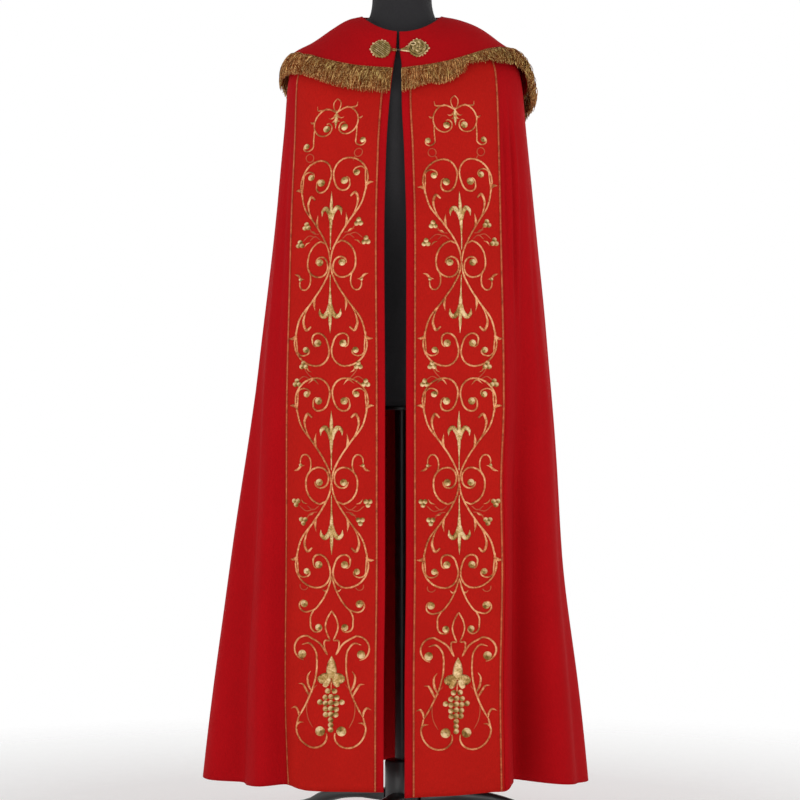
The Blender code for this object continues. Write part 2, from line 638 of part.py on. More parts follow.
def main():
    clear_scene()
    body_red = finish_of("cope_cloth", (0.36, 0.008, 0.012), 0.75)
    band_red = finish_of("orphrey_cloth", (0.45, 0.014, 0.010), 0.55)
    gold = finish_of("gold_thread", (0.55, 0.36, 0.10), 0.40, 0.6)
    black = finish_of("form_black", (0.018, 0.017, 0.018), 0.55)
    metal = finish_of("stand_black", (0.012, 0.012, 0.013), 0.35)
    dark = finish_of("hook_metal", (0.10, 0.09, 0.08), 0.35, 0.9)
    grid = np.stack([placed(all_ks(down), down) for down in ROW_DOWNS])
    make_body(grid, body_red)
    make_orphreys(grid, band_red, gold)
    make_cape(body_red, gold)
    make_clasp(gold, dark)
    make_form(black)
    make_stand(metal)


main()
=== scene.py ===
"""Looks of the cope on its dress form: cloth, orphreys, embroidery, fringe, clasp, form and stand.

Metres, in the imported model's frame. Left and right are as seen from the front, which faces -Y. The
cloth is one surface, placed(k, down), as in the CAD: k runs round the garment from the left front
edge (0) by the centre back (6) to the right front edge (12), and down runs from the neckline (0) to
the hem (HEM). Smaller creases are added to it here, and everything sewn on follows it.
"""

import math

import bmesh
import bpy
import numpy as np
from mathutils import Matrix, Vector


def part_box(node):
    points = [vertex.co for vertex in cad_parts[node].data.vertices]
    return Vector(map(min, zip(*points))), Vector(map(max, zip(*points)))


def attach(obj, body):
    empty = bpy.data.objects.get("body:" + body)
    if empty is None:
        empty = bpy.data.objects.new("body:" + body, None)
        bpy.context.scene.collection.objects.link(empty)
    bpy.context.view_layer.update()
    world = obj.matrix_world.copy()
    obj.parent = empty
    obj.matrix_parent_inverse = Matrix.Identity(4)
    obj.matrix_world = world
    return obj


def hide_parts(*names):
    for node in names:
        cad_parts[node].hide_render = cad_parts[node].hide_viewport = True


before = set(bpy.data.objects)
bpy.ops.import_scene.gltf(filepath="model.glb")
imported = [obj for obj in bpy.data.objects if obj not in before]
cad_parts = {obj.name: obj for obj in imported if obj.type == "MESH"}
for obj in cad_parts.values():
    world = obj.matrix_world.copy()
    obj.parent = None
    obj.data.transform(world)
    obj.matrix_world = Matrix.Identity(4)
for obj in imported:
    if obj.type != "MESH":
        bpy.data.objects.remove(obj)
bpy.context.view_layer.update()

# ---------------------------------------------------------------- sizes shared with the CAD

CLOTH = 0.0020
ORPHREY_CLOTH = 0.0010
CAPE_CLOTH = 0.0022
SEAM_GAP = 0.0003
REST_GAP = 0.0016
MARGINS = {"left": 0.0160, "right": 0.0170}
BRAID_WIDTH = 0.0050

SECTION_COLUMNS = (
    "down", "z_front", "z_side", "z_back", "left", "right", "front", "back", "middle", "square",
)
SECTIONS = (
    (0.00, 1.578, 1.619, 1.632, 0.066, 0.090, 0.070, 0.105, 0.020, 2.00),
    (0.02, 1.565, 1.613, 1.621, 0.086, 0.114, 0.076, 0.111, 0.020, 2.00),
    (0.05, 1.543, 1.593, 1.599, 0.118, 0.162, 0.083, 0.118, 0.020, 2.05),
    (0.10, 1.508, 1.563, 1.562, 0.158, 0.202, 0.095, 0.131, 0.020, 2.20),
    (0.15, 1.472, 1.536, 1.520, 0.198, 0.234, 0.105, 0.143, 0.020, 2.35),
    (0.19, 1.440, 1.503, 1.484, 0.211, 0.247, 0.112, 0.150, 0.020, 2.50),
    (0.30, 1.345, 1.390, 1.376, 0.221, 0.259, 0.125, 0.165, 0.020, 2.60),
    (0.50, 1.165, 1.170, 1.170, 0.244, 0.279, 0.148, 0.188, 0.015, 2.50),
    (0.81, 0.860, 0.860, 0.860, 0.281, 0.307, 0.172, 0.214, 0.005, 2.45),
    (1.12, 0.550, 0.550, 0.550, 0.322, 0.327, 0.192, 0.240, 0.000, 2.40),
    (1.37, 0.300, 0.300, 0.300, 0.356, 0.355, 0.207, 0.256, 0.000, 2.35),
    (1.56, 0.113, 0.113, 0.113, 0.375, 0.375, 0.218, 0.267, 0.000, 2.30),
)
HEM = SECTIONS[-1][0]
Z_BLEND = 1.6
FRONT_COLUMNS = ("down", "edge_left", "outer_left", "edge_right", "outer_right")
FRONTS = (
    (0.00, -0.0025, 0.0520, 0.0075, 0.0740),
    (0.05, -0.0010, 0.0980, 0.0080, 0.1380),
    (0.10, 0.0040, 0.1460, 0.0120, 0.1820),
    (0.15, 0.0085, 0.1840, 0.0118, 0.1960),
    (0.19, 0.0118, 0.1940, 0.0120, 0.1987),
    (0.30, 0.0180, 0.1970, 0.0165, 0.2015),
    (0.50, 0.0218, 0.2035, 0.0208, 0.2055),
    (0.81, 0.0200, 0.2128, 0.0202, 0.2078),
    (0.98, 0.0198, 0.2143, 0.0201, 0.2020),
    (1.12, 0.0196, 0.2155, 0.0200, 0.2034),
    (1.37, 0.0222, 0.2172, 0.0174, 0.1992),
    (1.56, 0.0225, 0.2125, 0.0174, 0.2005),
)
# Folds: where (k), how far out, how wide, and the down at which each starts.
FOLDS = (
    (1.06, -0.026, 0.13, 0.50),
    (1.32, 0.010, 0.14, 0.60),
    (1.90, -0.048, 0.33, 0.30),
    (2.60, 0.006, 0.25, 0.50),
    (3.50, -0.030, 0.33, 0.45),
    (4.10, 0.022, 0.28, 0.50),
    (4.75, -0.038, 0.30, 0.55),
    (5.40, 0.024, 0.28, 0.60),
    (6.05, -0.036, 0.30, 0.58),
    (6.60, 0.022, 0.26, 0.60),
    (7.25, -0.040, 0.30, 0.55),
    (7.85, 0.024, 0.27, 0.50),
    (8.50, -0.028, 0.30, 0.50),
    (9.20, 0.006, 0.25, 0.50),
    (9.60, -0.010, 0.20, 0.45),
    (10.48, -0.088, 0.27, 0.30),
    (10.95, 0.022, 0.11, 0.40),
)
FOLD_AFTER_HEM = 0.1
# At these k, how far the hem is lifted.
HEM_LIFTS = (
    (0.0, 0.005), (0.75, 0.0055), (1.0, 0.012), (1.3, 0.010), (1.8, 0.005), (2.8, 0.006),
    (4.1, -0.002), (6.0, 0.003), (8.0, -0.002), (9.3, -0.003), (9.9, 0.003), (10.35, 0.009),
    (10.85, 0.014), (11.0, 0.005), (12.0, -0.006),
)
HEM_LIFT_START = 1.20
# At these k, how high the cape ends.
CAPE_EDGES = (
    (0.0, 1.500), (0.42, 1.504), (0.6, 1.509), (0.8, 1.518), (1.0, 1.530), (1.3, 1.536),
    (1.8, 1.538), (2.3, 1.532), (2.8, 1.510), (3.4, 1.448), (4.3, 1.292), (5.2, 1.164),
    (6.0, 1.125), (6.8, 1.160), (7.7, 1.290), (8.6, 1.452), (9.4, 1.490), (10.2, 1.543),
    (10.6, 1.544), (11.0, 1.541), (11.2, 1.529), (11.4, 1.518), (11.6, 1.510), (12.0, 1.500),
)
CAPE_LIFT_AT_NECK = 0.0005
CAPE_LIFT_ON_ORPHREY = 0.0035
CAPE_LIFT_AT_EDGE = 0.0060
CAPE_OVER_ORPHREY = 0.045
CAPE_FRONT_DOWN = 0.11
CAPE_LONGEST = 0.75
ORPHREY_TOP = 0.05
ORPHREY_PAST_SEAM = 0.0023

FORM_COLUMNS = ("z_front", "z_side", "z_back", "left", "right", "front", "back", "square")
FORM_CENTRE = (0.0127, 0.030)
NECK_RINGS = (
    (1.690, 1.690, 1.690, 0.0455, 0.0709, 0.026, 0.086, 2.0),
    (1.650, 1.650, 1.650, 0.0465, 0.0719, 0.028, 0.088, 2.0),
    (1.592, 1.620, 1.637, 0.0530, 0.0790, 0.047, 0.096, 2.0),
)
TRUNK_RINGS = (
    (1.420, 1.470, 1.450, 0.188, 0.220, 0.103, 0.138, 2.4),
    (1.360, 1.395, 1.375, 0.176, 0.206, 0.108, 0.136, 2.4),
    (1.290, 1.290, 1.290, 0.156, 0.184, 0.112, 0.130, 2.3),
    (1.200, 1.200, 1.200, 0.137, 0.164, 0.104, 0.115, 2.2),
    (1.110, 1.110, 1.110, 0.128, 0.155, 0.094, 0.106, 2.2),
    (1.020, 1.020, 1.020, 0.143, 0.170, 0.098, 0.116, 2.2),
    (0.930, 0.930, 0.930, 0.159, 0.186, 0.104, 0.126, 2.2),
    (0.850, 0.850, 0.850, 0.161, 0.188, 0.105, 0.127, 2.2),
)
SHOULDER_DOWNS = (0.0, 0.03, 0.06, 0.09, 0.12, 0.145)
WIDEST_SHOULDER = 3

# ---------------------------------------------------------------- creases that the CAD leaves out

# Soft troughs (deep below zero) and ridges: where they start, how far they lean over the whole
# length, how deep and wide they are, and the downs between which they run.
CREASES = (
    (0.30, 0.05, -0.0022, 0.12, 0.75, 1.90),
    (0.62, -0.04, 0.0020, 0.13, 0.60, 1.60),
    (0.82, -0.10, -0.0040, 0.09, 1.15, 1.95),
    (0.45, 3.20, -0.0042, 0.07, 1.32, 1.80),
    (1.22, 0.08, -0.0030, 0.07, 0.22, 0.95),
    (1.48, 0.10, 0.0035, 0.10, 0.28, 1.20),
    (2.25, 0.10, 0.0040, 0.12, 0.40, 1.90),
    (2.45, -0.10, -0.0045, 0.10, 0.35, 1.00),
    (2.95, 0.12, -0.0050, 0.14, 0.55, 1.80),
    (3.85, -0.15, -0.0050, 0.12, 0.70, 1.70),
    (4.45, 0.12, 0.0045, 0.13, 0.62, 1.45),
    (5.10, 0.10, -0.0060, 0.12, 0.75, 1.95),
    (5.75, -0.12, 0.0040, 0.12, 0.66, 1.30),
    (6.35, 0.14, -0.0055, 0.14, 0.80, 1.85),
    (6.95, -0.10, 0.0045, 0.12, 0.64, 1.50),
    (7.55, 0.10, -0.0060, 0.13, 0.72, 1.90),
    (8.20, -0.14, 0.0045, 0.13, 0.60, 1.40),
    (8.85, 0.12, -0.0050, 0.12, 0.50, 1.60),
    (9.35, -0.10, 0.0040, 0.11, 0.40, 1.20),
    (10.12, -0.14, -0.0030, 0.09, 0.30, 1.10),
    (10.56, -0.05, 0.0045, 0.045, 0.18, 0.85),
    (10.66, -0.05, -0.0045, 0.040, 0.18, 0.70),
    (10.76, -0.04, 0.0040, 0.040, 0.18, 0.78),
    (10.85, -0.03, -0.0040, 0.035, 0.18, 0.62),
    (11.30, 0.05, -0.0030, 0.14, 0.85, 1.95),
    (11.62, -0.04, 0.0024, 0.12, 0.60, 1.50),
)
CREASE_GROWS, CREASE_FADES = 0.35, 0.45  # shares of a crease's run
RIPPLE, RIPPLE_FROM = 0.0007, (0.16, 0.5)
SIDE_SAMPLES, EDGE_SAMPLES = 361, 481  # along an outline, and along the whole of one row

# Smooth rolls of the shoulder cape, fading towards the neck: where, how far out, and how wide.
CAPE_ROLLS = (
    (0.55, 0.0016, 0.22), (1.45, -0.0014, 0.20), (2.30, 0.0026, 0.24), (3.10, -0.0030, 0.26),
    (4.00, 0.0032, 0.30), (4.90, -0.0034, 0.28), (5.70, 0.0030, 0.26), (6.60, -0.0032, 0.30),
    (7.50, 0.0034, 0.28), (8.35, -0.0030, 0.26), (9.20, 0.0026, 0.26), (10.10, -0.0016, 0.22),
    (11.25, 0.0018, 0.24),
)


TURN = 2 * math.pi


def turns(count):
    """That many angles spread evenly over one whole turn."""
    return np.linspace(0.0, TURN, count, endpoint=False)


def ease(value, low, high):
    """0 below low, 1 above high, and a smooth step between them."""
    t = np.clip((np.asarray(value, float) - low) / (high - low), 0.0, 1.0)
    return t * t * (3.0 - 2.0 * t)


def bell(value, centre, wide):
    """1 at the centre, and falling smoothly to nothing on both sides of it."""
    return np.exp(-(((value - centre) / wide) ** 2))


def cubic(values, tangents, run, i, t):
    """The cubic from values[i] to values[i + 1], a run apart, at the share t of the way."""
    rise = values[i] * (1 + 2 * t) * (1 - t) ** 2 + values[i + 1] * t * t * (3 - 2 * t)
    return rise + run * t * (1 - t) * (tangents[i] * (1 - t) - tangents[i + 1] * t)


def smooth_through(knots, values, at):
    """The smooth curve through (knots, values) that never overshoots them, read at each place."""
    knots, values = np.asarray(knots, float), np.asarray(values, float)
    step = np.diff(knots)
    slope = np.diff(values) / step
    tangent = np.concatenate([slope[:1], np.zeros(len(step) - 1), slope[-1:]])
    for i in range(1, len(step)):
        if slope[i - 1] * slope[i] > 0:
            before, after = 2 * step[i] + step[i - 1], step[i] + 2 * step[i - 1]
            tangent[i] = (before + after) / (before / slope[i - 1] + after / slope[i])
    at = np.clip(np.asarray(at, float), knots[0], knots[-1])
    i = np.clip(np.searchsorted(knots, at, side="right") - 1, 0, len(step) - 1)
    t = (at - knots[i]) / step[i]
    return cubic(values, tangent, step[i], i, t)


def read_table(rows, column, at):
    """One column of a table, read smoothly by its first."""
    return smooth_through([row[0] for row in rows], [row[column] for row in rows], at)


def row_of(columns, rows, down):
    """A table's values at this down, by column name."""
    return {name: float(read_table(rows, n, down)) for n, name in enumerate(columns)}


def lengths_along(points):
    """How far along a line each of its points is."""
    return np.concatenate([[0.0], np.linalg.norm(np.diff(points, axis=0), axis=-1).cumsum()])


def read_along(at, knots, points):
    """A line's points in space, read at these places along it."""
    return np.stack([np.interp(at, knots, points[:, axis]) for axis in range(3)], axis=-1)


def fold_at(k, down):
    """How far the folds and the creases move the cloth outwards."""
    total = np.zeros_like(k)
    last = HEM + FOLD_AFTER_HEM
    for at, deep, wide, start in FOLDS:
        total += deep * float(ease(down, start, last) / ease(HEM, start, last)) * bell(k, at, wide)
    for at, lean, deep, wide, start, end in CREASES:
        run = end - start
        share = float(ease(down, start, start + CREASE_GROWS * run))
        share *= 1.0 - float(ease(down, end - CREASE_FADES * run, end))
        total += deep * share * bell(k, at + lean * (down - start) / HEM, wide)
    uneven = np.sin(5.3 * k + 7.1 * down) + np.sin(8.9 * k - 4.3 * down + 1.0)
    uneven = uneven + np.sin(13.7 * down + 2.1 * k)
    return total + RIPPLE * uneven * float(ease(down, *RIPPLE_FROM))


def height_on(section, y):
    """The height of a section's outline where it passes this y."""
    in_front = y < section["middle"]
    reach = np.where(in_front, section["middle"] + section["front"], section["back"] - section["middle"])
    share = np.clip(np.abs(y - section["middle"]) / reach, 0.0, 1.0) ** Z_BLEND
    end = np.where(in_front, section["z_front"], section["z_back"])
    return section["z_side"] + (end - section["z_side"]) * share


def outline_row(ks, down):
    """The cloth's points at this down, for each k, without its folds."""
    section = row_of(SECTION_COLUMNS, SECTIONS, down)
    front = row_of(FRONT_COLUMNS, FRONTS, down)
    half = (section["left"] + section["right"]) / 2
    centre = (section["right"] - section["left"]) / 2
    square = section["square"]
    to_front = section["middle"] + section["front"]
    to_back = section["back"] - section["middle"]

    def front_y(x):
        return section["middle"] - to_front * (1 - np.abs((x - centre) / half) ** square) ** (1 / square)

    first = math.asin(((front["outer_left"] + centre) / half) ** (square / 2))
    last = TURN - math.asin(((front["outer_right"] - centre) / half) ** (square / 2))
    turn = np.linspace(first, last, SIDE_SAMPLES)
    sine, cosine = np.sin(turn), np.cos(turn)
    side_x = centre - half * np.sign(sine) * np.abs(sine) ** (2 / square)
    reach = np.where(cosine > 0, to_front, to_back)
    side_y = section["middle"] - reach * np.sign(cosine) * np.abs(cosine) ** (2 / square)
    travelled = lengths_along(np.stack([side_x, side_y], axis=-1))
    share = np.clip((ks - 1.0) / 10.0, 0.0, 1.0) * travelled[-1]
    x = np.interp(share, travelled, side_x)
    y = np.interp(share, travelled, side_y)

    on_left, on_right = ks < 1.0, ks > 11.0
    left_x = -(front["edge_left"] + (front["outer_left"] - front["edge_left"]) * ks)
    right_x = front["edge_right"] + (front["outer_right"] - front["edge_right"]) * (12.0 - ks)
    x = np.where(on_left, left_x, np.where(on_right, right_x, x))
    y = np.where(on_left | on_right, front_y(x), y)
    z = height_on(section, y)
    return np.stack([x, y, z + read_table(HEM_LIFTS, 1, ks) * ease(down, HEM_LIFT_START, HEM)], axis=-1)


def placed(ks, down):
    """The draped cloth's outer points at this down, folds and creases included, for each k."""
    ks = np.asarray(ks, float)
    fine = np.linspace(0.0, 12.0, EDGE_SAMPLES)
    line = outline_row(fine, down)
    along = np.gradient(line[:, :2], axis=0)
    outward = unit(np.stack([-along[:, 1], along[:, 0]], axis=-1))
    points = outline_row(ks, down)
    for axis in (0, 1):
        points[:, axis] += np.interp(ks, fine, outward[:, axis]) * fold_at(ks, down)
    return points


def bisectors(grid, axis):
    """At each point, the mean direction of the grid's steps into and out of it along one axis."""
    steps = unit(np.diff(grid, axis=axis))
    first, last = np.take(steps, [0], axis), np.take(steps, [-1], axis)
    return np.concatenate([first, steps], axis) + np.concatenate([steps, last], axis)


def unit(vectors):
    return vectors / np.linalg.norm(vectors, axis=-1, keepdims=True)


def normals_of(grid):
    """Unit normals of a grid of rows and columns, on the side that faces out."""
    return unit(np.cross(bisectors(grid, 1), bisectors(grid, 0)))


def k_of_front(side, distance, down):
    """The k at a distance from x = 0 on one front."""
    front = row_of(FRONT_COLUMNS, FRONTS, down)
    edge, outer = front["edge_" + side], front["outer_" + side]
    share = (distance - edge) / (outer - edge)
    return share if side == "left" else 12.0 - share


def surface(ks_of, downs):
    """Points and normals of the cloth, a row for each down, at the columns that ks_of(down) gives."""
    grid = np.stack([placed(ks_of(down), down) for down in downs])
    return grid, normals_of(grid)


def front_surface(side, distances_of, downs):
    """One front's points and outward normals, at the distances from x = 0 that the function gives."""
    grid, normals = surface(lambda down: k_of_front(side, distances_of(down), down), downs)
    return grid, normals if side == "left" else -normals


# ---------------------------------------------------------------- meshes


class Meshes:
    """Grids of points gathered into one mesh of quads, with a UV in metres and a tone for each point, which
    also carries painted light: sheen, glints and shade.
    """

    def __init__(self):
        self.points, self.quads, self.uvs, self.tones_and_painted_light = [], [], [], []
        self.caps, self.finishes, self.cap_finishes = [], [], []
        self.count = 0

    def add(self, points, uv, tone_and_painted_light=0.5, loop=False, capped=False, finish=0):
        """A grid of rows and columns. A looped one also joins its last column to its first."""
        rows, columns = points.shape[:2]
        index = self.count + np.arange(rows * columns).reshape(rows, columns)
        following = np.roll(index, -1, axis=1) if loop else index[:, 1:]
        near = index if loop else index[:, :-1]
        quads = np.stack([near[:-1], following[:-1], following[1:], near[1:]], axis=-1)
        self.quads.append(quads.reshape(-1, 4))
        self.finishes += [finish] * len(self.quads[-1])
        if capped:
            self.caps += [index[0, ::-1].tolist(), index[-1].tolist()]
            self.cap_finishes += [finish, finish]
        self.points.append(points.reshape(-1, 3))
        self.uvs.append(np.broadcast_to(uv, (rows, columns, 2)).reshape(-1, 2))
        self.tones_and_painted_light.append(np.broadcast_to(tone_and_painted_light, (rows, columns)).reshape(-1))
        self.count += rows * columns

    def build(self, name, *materials):
        points = np.concatenate(self.points)
        faces = np.concatenate(self.quads).tolist() + self.caps
        mesh = bpy.data.meshes.new(name)
        mesh.from_pydata(points.tolist(), [], faces)
        corners = np.empty(len(mesh.loops), np.int32)
        mesh.loops.foreach_get("vertex_index", corners)
        layer = mesh.uv_layers.new(name="cloth_metres")
        layer.data.foreach_set("uv", np.concatenate(self.uvs)[corners].astype(np.float32).ravel())
        tone_and_painted_light = mesh.attributes.new("tone_and_painted_light", "FLOAT", "POINT")
        tone_and_painted_light.data.foreach_set("value", np.concatenate(self.tones_and_painted_light).astype(np.float32))
        mesh.shade_smooth()
        for material in materials:
            mesh.materials.append(material)
        mesh.polygons.foreach_set("material_index", self.finishes + self.cap_finishes)
        return linked(name, mesh)

    def piece(self, name, slot, *materials, stands_for=(), mended=True):
        """The mesh as a piece of the object."""
        obj = self.build(name, *materials)
        if mended:
            mend(obj.data)
        settle(obj, slot, *stands_for)
        return obj


def linked(name, data):
    obj = bpy.data.objects.new(name, data)
    bpy.context.scene.collection.objects.link(obj)
    return obj


def mend(mesh, within=None):
    """Joins points that lie within a distance, if one is given, and turns closed faces outward."""
    made = bmesh.new()
    made.from_mesh(mesh)
    if within:
        bmesh.ops.remove_doubles(made, verts=made.verts, dist=within)
    bmesh.ops.recalc_face_normals(made, faces=made.faces)
    made.to_mesh(mesh)
    made.free()


def settle(piece, slot, *nodes):
    """The piece rides on the one body, and the CAD parts it stands for, if any, are hidden."""
    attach(piece, "root")
    if nodes:
        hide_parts(*nodes)


WELD = 0.00002
RIM_SHARES = (0.0, 0.2, 0.8, 1.0)


def shell(name, outer, inner, uv, material):
    """A wall of cloth between two grids, closed along its four edges, with a rounded rim."""
    made = Meshes()
    made.add(outer[:, ::-1], uv[:, ::-1])
    made.add(inner, uv)
    first, last = slice(0, 1), slice(-1, None)
    edges = (
        lambda g: g[first, ::-1], lambda g: g[last],
        lambda g: g[:, first].transpose(1, 0, 2), lambda g: g[::-1, last].transpose(1, 0, 2),
    )
    levels = [outer * (1.0 - share) + inner * share for share in RIM_SHARES]
    for edge in edges:
        made.add(np.concatenate([edge(level) for level in levels]), np.concatenate([edge(uv)] * 4))
    obj = made.build(name, material)
    mend(obj.data, WELD)
    return obj


def uv_of(grid):
    """Lengths along and down the cloth, in metres, so that a weave keeps its size everywhere."""
    across = np.linalg.norm(np.diff(grid, axis=1), axis=-1).cumsum(axis=1)
    down = np.linalg.norm(np.diff(grid, axis=0), axis=-1).cumsum(axis=0)
    across = np.concatenate([np.zeros((len(grid), 1)), across], axis=1)
    down = np.concatenate([np.zeros((1, grid.shape[1])), down], axis=0)
    return np.stack([across, down], axis=-1)


class Patch:
    """Points and normals over a regular grid of two values, read anywhere between them."""

    def __init__(self, rows, columns, points, normals):
        self.rows, self.columns = rows, columns
        self.points, self.normals = points, normals

    def at(self, row, column, lift=0.0):
        row, column = np.broadcast_arrays(np.asarray(row, float), np.asarray(column, float))
        r, i = self.spot(row, self.rows)
        c, j = self.spot(column, self.columns)
        found = []
        for values in (self.points, self.normals):
            upper = values[i, j] * (1 - c) + values[i, j + 1] * c
            lower = values[i + 1, j] * (1 - c) + values[i + 1, j + 1] * c
            found.append(upper * (1 - r) + lower * r)
        normal = unit(found[1])
        return found[0] + normal * np.asarray(lift, float)[..., None], normal

    @staticmethod
    def spot(value, ticks):
        place = np.clip((value - ticks[0]) / (ticks[1] - ticks[0]), 0.0, len(ticks) - 1.0001)
        index = place.astype(int)
        return (place - index)[..., None], index


def by_height(grid, normals, heights):
    """The same columns, read at these heights, from grids whose rows go down."""
    points = np.empty((len(heights), grid.shape[1], 3))
    outward = np.empty_like(points)
    for column in range(grid.shape[1]):
        fall = -grid[:, column, 2]
        points[:, column] = read_along(-heights, fall, grid[:, column])
        outward[:, column] = read_along(-heights, fall, normals[:, column])
    return points, outward


# The grounds of an orphrey and of a medallion: distances from x = 0, heights, and the downs that are
# read for them, each as first, last and how many.
BAND_GROUND = ((0.012, 0.214, 68), (0.105, 1.49, 280), (0.10, HEM, 240))
MEDAL_GROUND = ((0.001, 0.070, 29), (1.49, 1.575, 35), (0.0, 0.14, 57))


def ground(side, spans, lift_at=None):
    """One front by height and distance from x = 0, lifted off the mantle where lift_at says."""
    distances, heights, downs = (np.linspace(*span) for span in spans)
    grid, normals = front_surface(side, lambda down: distances, downs)
    if lift_at:
        grid = grid + normals * lift_at(downs[:, None])[..., None]
    return Patch(heights, distances, *by_height(grid, normals, heights))


# ---------------------------------------------------------------- materials


class Nodes:
    """Short names for the shader nodes of one material."""

    def __init__(self, name, roughness, metallic=0.0, **sockets):
        self.material = bpy.data.materials.new(name)
        self.material.use_nodes = True
        self.tree = self.material.node_tree
        self.shader = self.tree.nodes["Principled BSDF"]
        self.shader.inputs["Roughness"].default_value = roughness
        self.shader.inputs["Metallic"].default_value = metallic
        for socket, value in sockets.items():
            self.shader.inputs[socket.replace("_", " ")].default_value = value

    def new(self, kind, inputs=(), **settings):
        node = self.tree.nodes.new("ShaderNode" + kind)
        for setting, value in settings.items():
            setattr(node, setting, value)
        for socket, value in dict(inputs).items():
            self.put(node.inputs[socket], value)
        return node

    def put(self, socket, value):
        if isinstance(value, bpy.types.NodeSocket):
            self.tree.links.new(value, socket)
        else:
            socket.default_value = value

    def uv(self, across=1.0, along=1.0):
        """The piece's own lengths in metres, stretched as asked."""
        source = self.new("UVMap", uv_map="cloth_metres").outputs["UV"]
        mapping = self.new("Mapping", {"Vector": source, "Scale": (across, along, 1.0)})
        return mapping.outputs["Vector"]

    def place(self):
        return self.new("TexCoord").outputs["Object"]

    def noise(self, vector, scale, detail=2.0, roughness=0.5):
        inputs = {"Vector": vector, "Scale": scale, "Detail": detail, "Roughness": roughness}
        return self.new("TexNoise", inputs).outputs["Fac"]

    def bands(self, vector, period, direction="X", bend=0.0):
        """Stripes of light and dark, one every period metres."""
        inputs = {"Vector": vector, "Scale": math.pi / 10 / period, "Distortion": bend}
        return self.new("TexWave", inputs, bands_direction=direction).outputs["Fac"]

    def maths(self, operation, first, second=0.0, third=0.0):
        node = self.new("Math", {0: first, 1: second, 2: third}, operation=operation)
        return node.outputs[0]

    def ramp(self, factor, stops):
        node = self.new("ValToRGB", {"Fac": factor})
        elements = node.color_ramp.elements
        while len(elements) < len(stops):
            elements.new(0.5)
        for element, (place, colour) in zip(elements, stops):
            element.position = place
            element.color = (*colour, 1.0)
        return node.outputs["Color"]

    def mix(self, factor, first, second, blend="MIX"):
        node = self.new("Mix", data_type="RGBA", blend_type=blend)
        self.put(node.inputs["Factor"], factor)
        self.put(node.inputs["A"], first)
        self.put(node.inputs["B"], second)
        return node.outputs["Result"]

    def finish(self, colour, height=None, depth=0.0005, strength=0.6, roughness=None):
        self.put(self.shader.inputs["Base Color"], colour)
        if roughness is not None:
            self.put(self.shader.inputs["Roughness"], roughness)
        if height is not None:
            bump = self.new("Bump", {"Height": height, "Distance": depth, "Strength": strength})
            self.put(self.shader.inputs["Normal"], bump.outputs["Normal"])
        return self.material


def shade(colour, factor):
    return tuple(channel * factor for channel in colour)


def grey(value):
    return (value, value, value)


def woven_cloth(name, colour, thread, roughness, sheen, patches):
    """A plain weave with slubs, soft patches of light and dark, and a short nap."""
    m = Nodes(
        name, roughness, Specular_IOR_Level=0.05, Sheen_Weight=sheen, Sheen_Roughness=0.5,
        Sheen_Tint=(*[min(1.0, 0.03 + 2.0 * channel) for channel in colour], 1.0),
    )
    uv = m.uv()
    warp = m.bands(uv, thread, "X", 0.6)
    weft = m.bands(uv, thread, "Y", 0.6)
    weave = m.maths("MAXIMUM", warp, weft)
    slubs = m.noise(m.uv(1.0, 0.12), 900.0, 2.0)
    soft = m.noise(m.place(), patches, 3.0, 0.55)
    nap = m.noise(m.place(), 420.0, 3.0, 0.6)
    mottled = m.ramp(soft, ((0.30, shade(colour, 0.95)), (0.72, shade(colour, 1.05))))
    grained = m.ramp(m.maths("MULTIPLY_ADD", slubs, 0.5, m.maths("MULTIPLY", nap, 0.5)),
                     ((0.30, grey(0.80)), (0.70, grey(1.12))))
    coloured = m.mix(1.0, mottled, grained, "MULTIPLY")
    height = m.maths("MULTIPLY_ADD", nap, 0.6, weave)
    return m.finish(coloured, height, 0.00035, 0.55)


def metal_thread(
    name, dark, middle, bright, period, roughness=0.36, metallic=0.5, painted_glint=0.0, gloss=0.3,
    speckle=1.0, patchy=1.3, tint=None, grain=420.0,
):
    """Threads laid side by side across each stroke, mottled, lighter or darker by each point's tone, which
    carries painted sheen and shade, and with painted glints of a metal wrap where asked.
    """
    m = Nodes(name, roughness, metallic, Specular_IOR_Level=gloss)
    uv = m.uv(1.0, 0.5)
    threads = m.bands(m.uv(), period, "DIAGONAL", 0.8)
    fine = m.noise(uv, grain, 2.0, 0.6)
    patches = m.noise(m.place(), 110.0, 2.0)
    # Each point's tone, partly painted light: sheen, glints and shade set where the threads are drawn.
    light = m.new("Attribute", attribute_name="tone_and_painted_light").outputs["Fac"]
    for pattern, weight in ((fine, speckle), (patches, patchy), (threads, 0.20)):
        light = m.maths("MULTIPLY_ADD", m.maths("SUBTRACT", pattern, 0.5), weight, light)
    colour = m.ramp(light, ((0.10, dark), (0.50, middle), (0.92, bright)))
    if tint:
        hue = m.ramp(m.noise(m.place(), 22.0, 2.0), ((0.38, tint[0]), (0.62, tint[1])))
        colour = m.mix(1.0, colour, hue, "MULTIPLY")
    # Painted glints: scattered spots mixed to the bright colour.
    if painted_glint:
        spots = m.ramp(m.noise(uv, 650.0, 1.0), ((0.58, grey(0.0)), (0.64, grey(painted_glint))))
        colour = m.mix(spots, colour, (*bright, 1.0))
    return m.finish(colour, threads, 0.0004, 0.7)


def painted_metal():
    m = Nodes("stand_paint", 0.34, Specular_IOR_Level=0.5, Coat_Weight=0.15, Coat_Roughness=0.25)
    orange_peel = m.noise(m.place(), 260.0, 3.0)
    worn = m.noise(m.place(), 22.0, 4.0, 0.6)
    colour = m.ramp(worn, ((0.35, (0.010, 0.010, 0.011)), (0.75, (0.021, 0.021, 0.023))))
    return m.finish(colour, orange_peel, 0.0002, 0.25, m.maths("MULTIPLY_ADD", worn, 0.20, 0.26))


